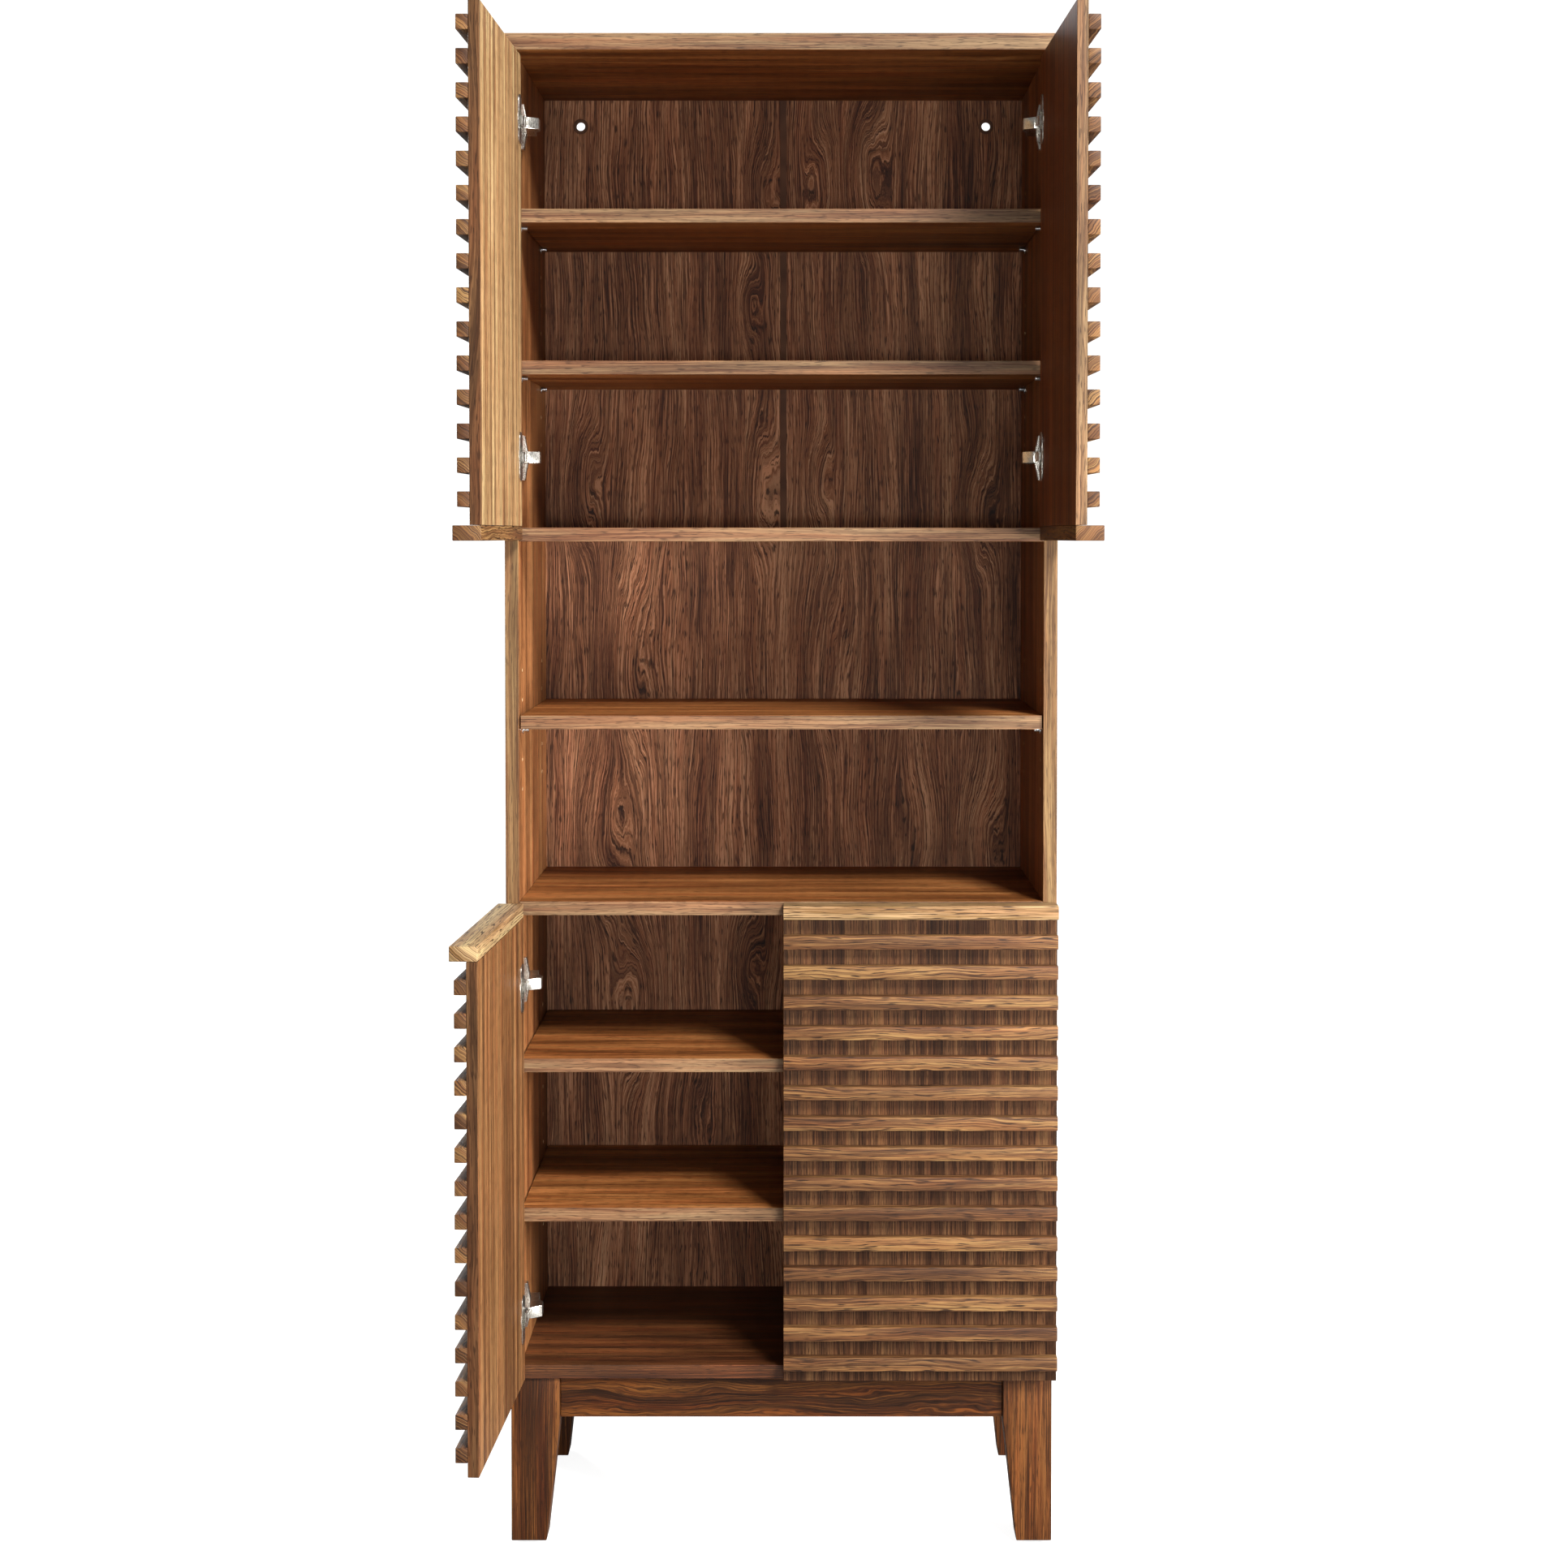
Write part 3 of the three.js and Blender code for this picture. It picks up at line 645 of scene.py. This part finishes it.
def makePins(name):
    # four steel pins under a shelf, each with a collar against the side panel
    pin = {"shaft": 8, "collar": 7.4, "collarWidth": 1.1, "reach": 7.5, "play": 0.15, "slack": 0.1,
           "rodEdge": 0.4, "collarEdge": 0.25}
    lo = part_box(name)[0]
    radius = pinSizes["hole"] / 2 * mm
    shape = bmesh.new()
    for side in (-1, 1):
        face = abs(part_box("side_right")[0].x) * side
        for row in (pinSizes["frontRow"], pinSizes["rearRow"]):
            centre = Vector((face, row * mm, lo.z - radius - pin["play"] * mm))
            rod = rodShape(centre + Vector((side * pin["shaft"] * mm, 0, 0)), (-side, 0, 0),
                           radius - pin["slack"] * mm, (pin["shaft"] + pin["reach"]) * mm, 24)
            roundEdges(rod, sharpEdges(rod), pin["rodEdge"])
            addShape(shape, rod)
            collar = rodShape(centre, (-side, 0, 0), pin["collar"] / 2 * mm, pin["collarWidth"] * mm, 32)
            bmesh.ops.translate(collar, vec=(0, 0, -(pin["collar"] / 2 * mm - radius)), verts=collar.verts)
            roundEdges(collar, sharpEdges(collar), pin["collarEdge"])
            addShape(shape, collar)
    place(name + "_pins", meshOf(shape, name), [zinc], carcass)


for shelfName in shelfNames:
    makePins(shelfName)
print("carcass boards and pins ready")


wallHole = {"hole": 11, "room": 1.2, "below": 33, "fromMiddle": 258, "ring": 19, "rim": 0.9, "lip": 2.0}


def makeBack(name):
    lo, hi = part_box(name)
    shape = boxShape(lo, hi)
    roundEdges(shape, shape.edges[:], boardSizes["backEdge"], 1)
    paintFaces(shape, lambda n: 1 if n.y > 0.5 else 0)
    mesh = meshOf(shape, name)
    finishes = [backVeneer, hardboard]
    if name in ("back_upper_left", "back_upper_right"):
        side = -1 if name.endswith("left") else 1
        start = (side * wallHole["fromMiddle"] * mm, lo.y - past, hi.z - wallHole["below"] * mm)
        radius = wallHole["hole"] / 2 * mm + wallHole["room"] * mm
        cutter = rodShape(start, (0, 1, 0), radius, 3 * past, 40)
        for face in cutter.faces:
            face.material_index = 1
        mesh = cutMesh(mesh, meshOf(cutter, "cutter"), finishes)
    place(name + "_board", mesh, finishes, carcass, [name])


for backName in ("back_lower", "back_middle", "back_upper_left", "back_upper_right"):
    makeBack(backName)


def makeJointStrip():
    # H section that holds the two upper backs edge to edge: a web with a thin cover on each side
    strip = {"cover": 8, "coverThick": 0.9, "edge": 0.35}
    lo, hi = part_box("back_joint_strip")
    shape = boxShape(lo, hi)
    for y in (lo.y - strip["coverThick"] * mm, hi.y):
        cover = boxShape((-strip["cover"] / 2 * mm, y, lo.z),
                         (strip["cover"] / 2 * mm, y + strip["coverThick"] * mm, hi.z))
        roundEdges(cover, sharpEdges(cover), strip["edge"])
        addShape(shape, cover)
    place("back_joint_strip_profile", meshOf(shape, "strip"), [brownPlastic], carcass,
          ["back_joint_strip"])


def makeWallRings():
    # moulded ring in each hole near the top of the backs, for the wall screws
    for name, side in (("left", -1), ("right", 1)):
        lo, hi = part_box(f"back_upper_{name}")
        centre = Vector((side * wallHole["fromMiddle"], 0, 0)) * mm
        centre.z = hi.z - wallHole["below"] * mm
        bore, ring = wallHole["hole"] / 2 * mm, wallHole["ring"] / 2 * mm
        lip, rim = wallHole["lip"] * mm, wallHole["rim"] * mm
        outline = [(bore, hi.y), (bore, lo.y - rim), (bore + lip / 2, lo.y - 1.5 * rim),
                   (ring - rim, lo.y - 1.2 * rim), (ring, lo.y - 0.05 * rim), (bore + rim, lo.y),
                   (bore + rim, hi.y)]
        shape = bmesh.new()
        corners = [shape.verts.new((centre.x + r, y, centre.z)) for r, y in outline]
        edges = [shape.edges.new((corners[i], corners[(i + 1) % len(corners)])) for i in range(len(corners))]
        bmesh.ops.spin(shape, geom=corners + edges, cent=centre, axis=(0, 1, 0), angle=2 * math.pi,
                       steps=40, use_merge=True, dvec=(0, 0, 0))
        bmesh.ops.remove_doubles(shape, verts=shape.verts, dist=0.01 * mm)
        place(f"wall_hole_ring_{name}", meshOf(shape, "ring"), [brownPlastic], carcass)


makeJointStrip()
makeWallRings()
print("backs ready")


baseSizes = {"footWidth": 41, "legEdge": 1.2, "apronEdge": 0.8, "glideEdge": 1.0}


def makeLeg(end, hand):
    name = f"leg_{end}_{hand}"
    lo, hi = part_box(name)
    side = -1 if hand == "left" else 1
    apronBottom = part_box("apron_front")[0].z
    shape = boxShape(lo, hi)
    # the inner side tapers from the apron's lower edge down to the foot
    bmesh.ops.bisect_plane(shape, geom=shape.verts[:] + shape.edges[:] + shape.faces[:],
                           plane_co=(0, 0, apronBottom), plane_no=(0, 0, 1))
    innerX = lo.x if side > 0 else hi.x
    foot = [v for v in shape.verts if v.co.z < lo.z + mm and abs(v.co.x - innerX) < mm]
    taper = (hi.x - lo.x) - baseSizes["footWidth"] * mm
    bmesh.ops.translate(shape, vec=(side * taper, 0, 0), verts=foot)
    roundEdges(shape, sharpEdges(shape), baseSizes["legEdge"], 3)
    place(f"{name}_post", meshOf(shape, name), [legWood], carcass, [name])


def makeGlide(end, hand):
    name = f"glide_{end}_{hand}"
    lo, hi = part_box(name)
    middle = (lo + hi) / 2
    radius = (hi.x - lo.x) / 2
    shape = rodShape((middle.x, middle.y, lo.z), (0, 0, 1), radius, hi.z - lo.z, 48)
    lower = [e for e in sharpEdges(shape) if all(v.co.z < lo.z + mm for v in e.verts)]
    roundEdges(shape, lower, baseSizes["glideEdge"], 4)
    place(f"{name}_disc", meshOf(shape, name), [glidePlastic], carcass, [name])


def makeApron(name):
    lo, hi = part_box(name)
    shape = boxShape(lo, hi)
    roundEdges(shape, shape.edges[:], baseSizes["apronEdge"], 2)
    place(f"{name}_board", meshOf(shape, name), [apronWood], carcass, [name])


for end in ("front", "rear"):
    for hand in ("left", "right"):
        makeLeg(end, hand)
        makeGlide(end, hand)
for apronName in ("apron_front", "apron_rear", "apron_left", "apron_right"):
    makeApron(apronName)
print("base ready")


doorSizes = {"slat": 16, "slatDepth": 13, "pitch": 35, "slats": 15, "slatEdge": 0.9, "panelEdge": 0.5,
             "railEdge": 0.9, "pocketPlay": 0.3, "cup": 26, "pocketDepth": 9.6}
doorNames = ("upper_left", "upper_right", "lower_left", "lower_right")


def doorTurn(door):
    # takes a door from closed to where it stands at rest
    joint = next(j for j in frame["joints"] if j["name"] == f"{door}_door_hinge")
    centre = Matrix.Translation(Vector(joint["pos_m"]))
    angle = math.radians(-joint["range_deg"][0])
    return centre @ Matrix.Rotation(angle, 4, Vector(joint["axis"])) @ centre.inverted()


def closedBox(node, turn):
    back = turn.inverted()
    corners = [back @ v.co for v in frame["nodes"][node].data.vertices]
    lo = Vector([min(c[i] for c in corners) for i in range(3)])
    hi = Vector([max(c[i] for c in corners) for i in range(3)])
    return lo, hi


def keepGrain(mesh, alongX, shift):
    # each door piece remembers where it was sliced from the log, so the grain turns with the door
    layer = mesh.attributes.new("grain", "FLOAT_VECTOR", "POINT")
    for vertex, value in zip(mesh.vertices, layer.data):
        x, y, z = vertex.co
        value.vector = Vector((z, y, x) if alongX else (x, y, z)) + shift


grainSpread = (2, 0.5, 3)  # how far from the log's middle a piece may come, in metres


def someShift():
    return Vector([grainRandom.uniform(-reach, reach) for reach in grainSpread])


def makeDoor(door):
    body = f"{door}_door"
    turn = doorTurn(door)
    panelLo, panelHi = closedBox(f"{door}_door_panel", turn)
    railLo, railHi = closedBox(f"{door}_door_rail", turn)
    railOnTop = railLo.z > panelLo.z + 100 * mm
    faceY = panelLo.y + doorSizes["slatDepth"] * mm
    # leaf, with a bored pocket for each hinge cup
    shape = boxShape((panelLo.x, faceY, panelLo.z), panelHi)
    roundEdges(shape, shape.edges[:], doorSizes["panelEdge"])
    paintFaces(shape, lambda n: 3 if abs(n.y) < 0.5 else 2 if n.y < 0 else 0)
    cutter = bmesh.new()
    for end in ("top", "bottom"):
        cupLo, cupHi = closedBox(f"{door}_hinge_cup_{end}", turn)
        middle = (cupLo + cupHi) / 2
        start = (middle.x, panelHi.y - doorSizes["pocketDepth"] * mm, middle.z)
        addShape(cutter, rodShape(start, (0, 1, 0), (doorSizes["cup"] / 2 + doorSizes["pocketPlay"]) * mm,
                                  2 * past, 48), 1)
    # the upper right leaf and the lower leaves get veneers with painted shade
    inner = {"upper_left": doorVeneer, "upper_right": shadedDoorVeneer}.get(door, lowerShadedDoorVeneer)
    rim = darkRimVeneer if door.endswith("left") else rimVeneer
    # the outer face behind the slats carries painted shade
    finishes = [inner, chipboard, shadedDoorFaceVeneer, rim]
    mesh = cutMesh(meshOf(shape, door), meshOf(cutter, "cutter"), finishes)
    keepGrain(mesh, False, someShift())
    mesh.transform(turn)
    place(f"{door}_leaf", mesh, finishes, body, [f"{door}_door_panel"])
    # slats, counted from the rail
    for i in range(doorSizes["slats"]):
        fromRail = ((i + 1) * doorSizes["pitch"] - doorSizes["slat"]) * mm
        low = railLo.z - fromRail - doorSizes["slat"] * mm if railOnTop else railHi.z + fromRail
        shape = boxShape((panelLo.x, panelLo.y, low), (panelHi.x, faceY, low + doorSizes["slat"] * mm))
        roundEdges(shape, shape.edges[:], doorSizes["slatEdge"], 3)
        mesh = meshOf(shape, "slat")
        keepGrain(mesh, True, someShift())
        mesh.transform(turn)
        place(f"{door}_slat_{i + 1:02d}", mesh, [barWood], body)
    shape = boxShape(railLo, railHi)
    roundEdges(shape, shape.edges[:], doorSizes["railEdge"], 3)
    mesh = meshOf(shape, "rail")
    keepGrain(mesh, True, someShift())
    mesh.transform(turn)
    wood = railWood if railOnTop else barWood
    place(f"{door}_rail", mesh, [wood], body, [f"{door}_door_rail"])
    return turn


doorTurns = {door: makeDoor(door) for door in doorNames}
print("doors ready")


hingeSizes = {"cup": 26, "cupDepth": 9.3, "wall": 0.8, "rim": 1.1, "flangeLength": 56, "flangeWidth": 22,
              "flange": 1.0, "flangeCorner": 8, "flangeEdge": 0.25, "flangeHoleRoom": 0.4, "lift": 0.3,
              "rimEdge": 0.3, "armEdge": 0.35, "linkEdge": 0.25,
              "screw": 3.6, "cupScrewFrom": 22.5, "cupScrewHeight": 1.5, "cupScrewSunk": 0.2}
# Screws on the mounting plate, and on the arm's crown; each place is how far from the arm's rear end,
# and how far below the crown
plateScrews = {"radius": 3.4, "height": 1.6, "in": 4.3, "back": 25, "fromMiddle": 19}
crownScrews = {"radius": 3.0, "height": 1.3, "sunk": 0.3, "places": ((42, 0), (9, 8))}


# parts of a screw's radius and height, and the cross recess turned a little in radians
screwShape = {"edge": 0.45, "recessReach": 0.62, "recessWidth": 0.13, "recessFloor": 0.45, "turn": 0.4}


def screwMesh(radius, height):
    # countersunk-style head with a cross recess, its foot at the origin and its top up +Z
    shape = rodShape((0, 0, 0), (0, 0, 1), radius, height, 32)
    top = [e for e in sharpEdges(shape) if all(v.co.z > height / 2 for v in e.verts)]
    roundEdges(shape, top, height / mm * screwShape["edge"], 3)
    reach, width = radius * screwShape["recessReach"], radius * screwShape["recessWidth"]
    cutter = bmesh.new()
    for turn in (0, math.pi / 2):
        recess = boxShape((-reach, -width, height * screwShape["recessFloor"]), (reach, width, height * 2))
        bmesh.ops.rotate(recess, cent=(0, 0, 0), matrix=Matrix.Rotation(turn + screwShape["turn"], 3, "Z"),
                         verts=recess.verts)
        addShape(cutter, recess)
    return cutMesh(meshOf(shape, "screw"), meshOf(cutter, "cutter"), [])


def addScrew(shape, radius, height, at, along):
    mesh = screwMesh(radius, height)
    turn = Vector((0, 0, 1)).rotation_difference(Vector(along)).to_matrix().to_4x4()
    mesh.transform(Matrix.Translation(Vector(at)) @ turn)
    shape.from_mesh(mesh)
    bpy.data.meshes.remove(mesh)


def cupAssembly():
    # cup, flange and its two screws, lying on the door's inner face with the mouth at the origin, up +Y
    h = hingeSizes
    radius, hollow = h["cup"] / 2 * mm, (h["cup"] / 2 - h["wall"]) * mm
    floor, rim = -(h["cupDepth"] - h["wall"]) * mm, h["rim"] * mm
    base, eased = -h["cupDepth"] * mm, h["rimEdge"] * mm
    outline = [(0, base), (radius - mm, base), (radius, floor), (radius, rim - eased), (radius - eased, rim),
               (hollow, rim), (hollow, floor + mm), (hollow - mm, floor), (0, floor)]
    cup = bmesh.new()
    corners = [cup.verts.new((r, y, 0)) for r, y in outline]
    edges = [cup.edges.new(pair) for pair in zip(corners, corners[1:])]
    bmesh.ops.spin(cup, geom=corners + edges, cent=(0, 0, 0), axis=(0, 1, 0), angle=2 * math.pi, steps=48,
                   use_merge=True, dvec=(0, 0, 0))
    bmesh.ops.remove_doubles(cup, verts=cup.verts, dist=0.005 * mm)
    plate = boxShape((-h["flangeWidth"] / 2 * mm, h["lift"] * mm, -h["flangeLength"] / 2 * mm),
                     (h["flangeWidth"] / 2 * mm, (h["lift"] + h["flange"]) * mm, h["flangeLength"] / 2 * mm))
    upright = [e for e in plate.edges if abs(e.verts[0].co.y - e.verts[1].co.y) > 0.5 * mm]
    roundEdges(plate, upright, h["flangeCorner"], 6)
    roundEdges(plate, sharpEdges(plate, 60), h["flangeEdge"])
    hole = rodShape((0, -past, 0), (0, 1, 0), hollow + h["flangeHoleRoom"] * mm, 2 * past, 48)
    plateMesh = cutMesh(meshOf(plate, "plate"), meshOf(hole, "hole"), [])
    cup.from_mesh(plateMesh)
    seat = (h["lift"] + h["flange"] - h["cupScrewSunk"]) * mm
    for end in (-1, 1):
        at = (0, seat, end * h["cupScrewFrom"] * mm)
        addScrew(cup, h["screw"] * mm, h["cupScrewHeight"] * mm, at, (0, 1, 0))
    return meshOf(cup, "cup")


def refinedCopy(node, edge):
    # a carried-over shape with its facets merged and its edges broken
    shape = bmesh.new()
    shape.from_mesh(frame["nodes"][node].data)
    bmesh.ops.remove_doubles(shape, verts=shape.verts, dist=0.005 * mm)
    bmesh.ops.dissolve_limit(shape, angle_limit=math.radians(1), verts=shape.verts, edges=shape.edges)
    roundEdges(shape, sharpEdges(shape, 35), edge, 2)
    return shape


def makeHinge(door, end, side):
    turn = doorTurns[door]
    body = f"{door}_door"
    cupNode, armNode, linkNode = (f"{door}_hinge_{part}_{end}" for part in ("cup", "arm", "link"))
    cupLo, cupHi = closedBox(cupNode, turn)
    middle = (cupLo + cupHi) / 2
    mouth = Vector((middle.x, cupHi.y - hingeSizes["lift"] * mm - hingeSizes["flange"] * mm, middle.z))
    mesh = cupAssembly()
    mesh.transform(turn @ Matrix.Translation(mouth))
    place(f"{cupNode}_set", mesh, [nickel], body, [cupNode])

    # arm on its mounting plate, with the plate's two screws and the adjusting screws on the crown
    lo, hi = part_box(armNode)
    shape = refinedCopy(armNode, hingeSizes["armEdge"])
    plateX = lo.x if side < 0 else hi.x
    crownX = hi.x if side < 0 else lo.x
    inward = (-side, 0, 0)
    mid = (lo.z + hi.z) / 2
    flat, crown = plateScrews, crownScrews
    for row in (-1, 1):
        at = (plateX - side * flat["in"] * mm, hi.y - flat["back"] * mm, mid + row * flat["fromMiddle"] * mm)
        addScrew(shape, flat["radius"] * mm, flat["height"] * mm, at, inward)
    for back, level in crown["places"]:
        at = (crownX + side * (level - crown["sunk"]) * mm, hi.y - back * mm, mid)
        addScrew(shape, crown["radius"] * mm, crown["height"] * mm, at, inward)
    place(f"{armNode}_set", meshOf(shape, armNode), [nickel], carcass, [armNode])

    shape = refinedCopy(linkNode, hingeSizes["linkEdge"])
    place(f"{linkNode}_plate", meshOf(shape, linkNode), [nickel], f"{door}_link_{end}", [linkNode])


for door in doorNames:
    for end in ("top", "bottom"):
        makeHinge(door, end, -1 if door.endswith("left") else 1)
print("hinges ready")


studio = {
    # strengths of the surroundings as light, in reflections, and as the camera sees them
    "world": 0.02, "glossWorld": 0.25, "backdrop": 1.15,
    # the floor is grey for the light it throws back, and lifted to white where the camera sees it
    "floor": {"tint": "#9A9997", "shade": "#959492", "cloud": 3, "roughness": 0.8, "reach": 14,
              "near": 0.9, "far": 1.1, "from": 0.5, "to": 1.9},
    "lamps": {  # power in watts, width and height in metres
        "high": {"power": 520, "size": (1.2, 1.2), "at": (1.9, -3.6, 4.2), "aim": (0, 0, 0.9)},
        "side": {"power": 66, "size": (0.5, 0.5), "at": (1.65, -0.98, 0.78), "aim": (-0.3, -0.1, 1.1)},
        "softbox": {"power": 62, "size": (1.6, 0.4), "at": (0.35, -4.2, 1.08), "aim": (0, 0.1, 1.08)},
        "rear": {"power": 190, "size": (1.6, 1.6), "at": (-2.5, 3.2, 1.7), "aim": (0, 0.3, 0.9)},
    },
}


def makeLamp(name, look):
    light = bpy.data.lights.new(name, "AREA")
    light.energy = look["power"]
    light.shape = "RECTANGLE"
    light.size, light.size_y = look["size"]
    lamp = bpy.data.objects.new(name, light)
    lamp.location = look["at"]
    lamp.rotation_euler = (Vector(look["aim"]) - Vector(look["at"])).to_track_quat("-Z", "Y").to_euler()
    lamp.visible_camera = False
    scene.collection.objects.link(lamp)


def makeWorld():
    # the backdrop shows white, and lights the cabinet more gently than it looks
    world = bpy.data.worlds.new("studio")
    scene.world = world
    world.use_nodes = True
    tree = world.node_tree
    tree.nodes.clear()
    ray = addNode(tree, "ShaderNodeLightPath")
    dim = addNode(tree, "ShaderNodeBackground", None, {"Color": (1, 1, 1, 1), "Strength": studio["world"]})
    bright = addNode(tree, "ShaderNodeBackground", None,
                     {"Color": (1, 1, 1, 1), "Strength": studio["backdrop"]})
    gloss = addNode(tree, "ShaderNodeBackground", None,
                    {"Color": (1, 1, 1, 1), "Strength": studio["glossWorld"]})
    lit = addNode(tree, "ShaderNodeMixShader", None,
                  {0: ray.outputs["Is Glossy Ray"], 1: dim.outputs[0], 2: gloss.outputs[0]})
    both = addNode(tree, "ShaderNodeMixShader", None,
                   {0: ray.outputs["Is Camera Ray"], 1: lit.outputs[0], 2: bright.outputs[0]})
    addNode(tree, "ShaderNodeOutputWorld", None, {"Surface": both.outputs[0]})


def makeFloor():
    # keeps a faint shadow round the feet and runs into the white backdrop further out
    look = studio["floor"]
    shape = bmesh.new()
    bmesh.ops.create_grid(shape, x_segments=1, y_segments=1, size=look["reach"])
    mesh = bpy.data.meshes.new("floor")
    shape.to_mesh(mesh)
    shape.free()
    floor = bpy.data.objects.new("floor", mesh)
    floor.location = (0, 0, cadBox[0].z)
    scene.collection.objects.link(floor)
    material, tree = newMaterial("floor_matt_white")
    spot = addNode(tree, "ShaderNodeTexCoord")
    cloud = addNode(tree, "ShaderNodeTexNoise", None,
                    {"Vector": spot.outputs["Object"], "Scale": look["cloud"]})
    colour = addNode(tree, "ShaderNodeValToRGB",
                     {"stops": [(0.3, look["shade"]), (0.7, look["tint"])]}, {0: cloud})
    matt = addNode(tree, "ShaderNodeBsdfPrincipled", None,
                   {"Base Color": colour.outputs[0], "Roughness": look["roughness"]})
    distance = addNode(tree, "ShaderNodeVectorMath", {"operation": "LENGTH"}, {0: spot.outputs["Object"]})
    lift = addNode(tree, "ShaderNodeMapRange", {"interpolation_type": "SMOOTHSTEP"}, {
        "Value": distance.outputs["Value"], "From Min": look["from"], "From Max": look["to"],
        "To Min": look["near"], "To Max": look["far"]})
    ray = addNode(tree, "ShaderNodeLightPath")
    seen = addNode(tree, "ShaderNodeMath", {"operation": "MULTIPLY"},
                   {0: lift, 1: ray.outputs["Is Camera Ray"]})
    glow = addNode(tree, "ShaderNodeEmission", None, {"Color": (1, 1, 1, 1), "Strength": seen})
    both = addNode(tree, "ShaderNodeAddShader", None, {0: matt.outputs[0], 1: glow.outputs[0]})
    closeMaterial(tree, both)
    mesh.materials.append(material)


makeWorld()
makeFloor()
for lampName, lampLook in studio["lamps"].items():
    makeLamp(lampName, lampLook)
scene.view_settings.view_transform = "Standard"
scene.view_settings.look = "None"
print("studio ready")
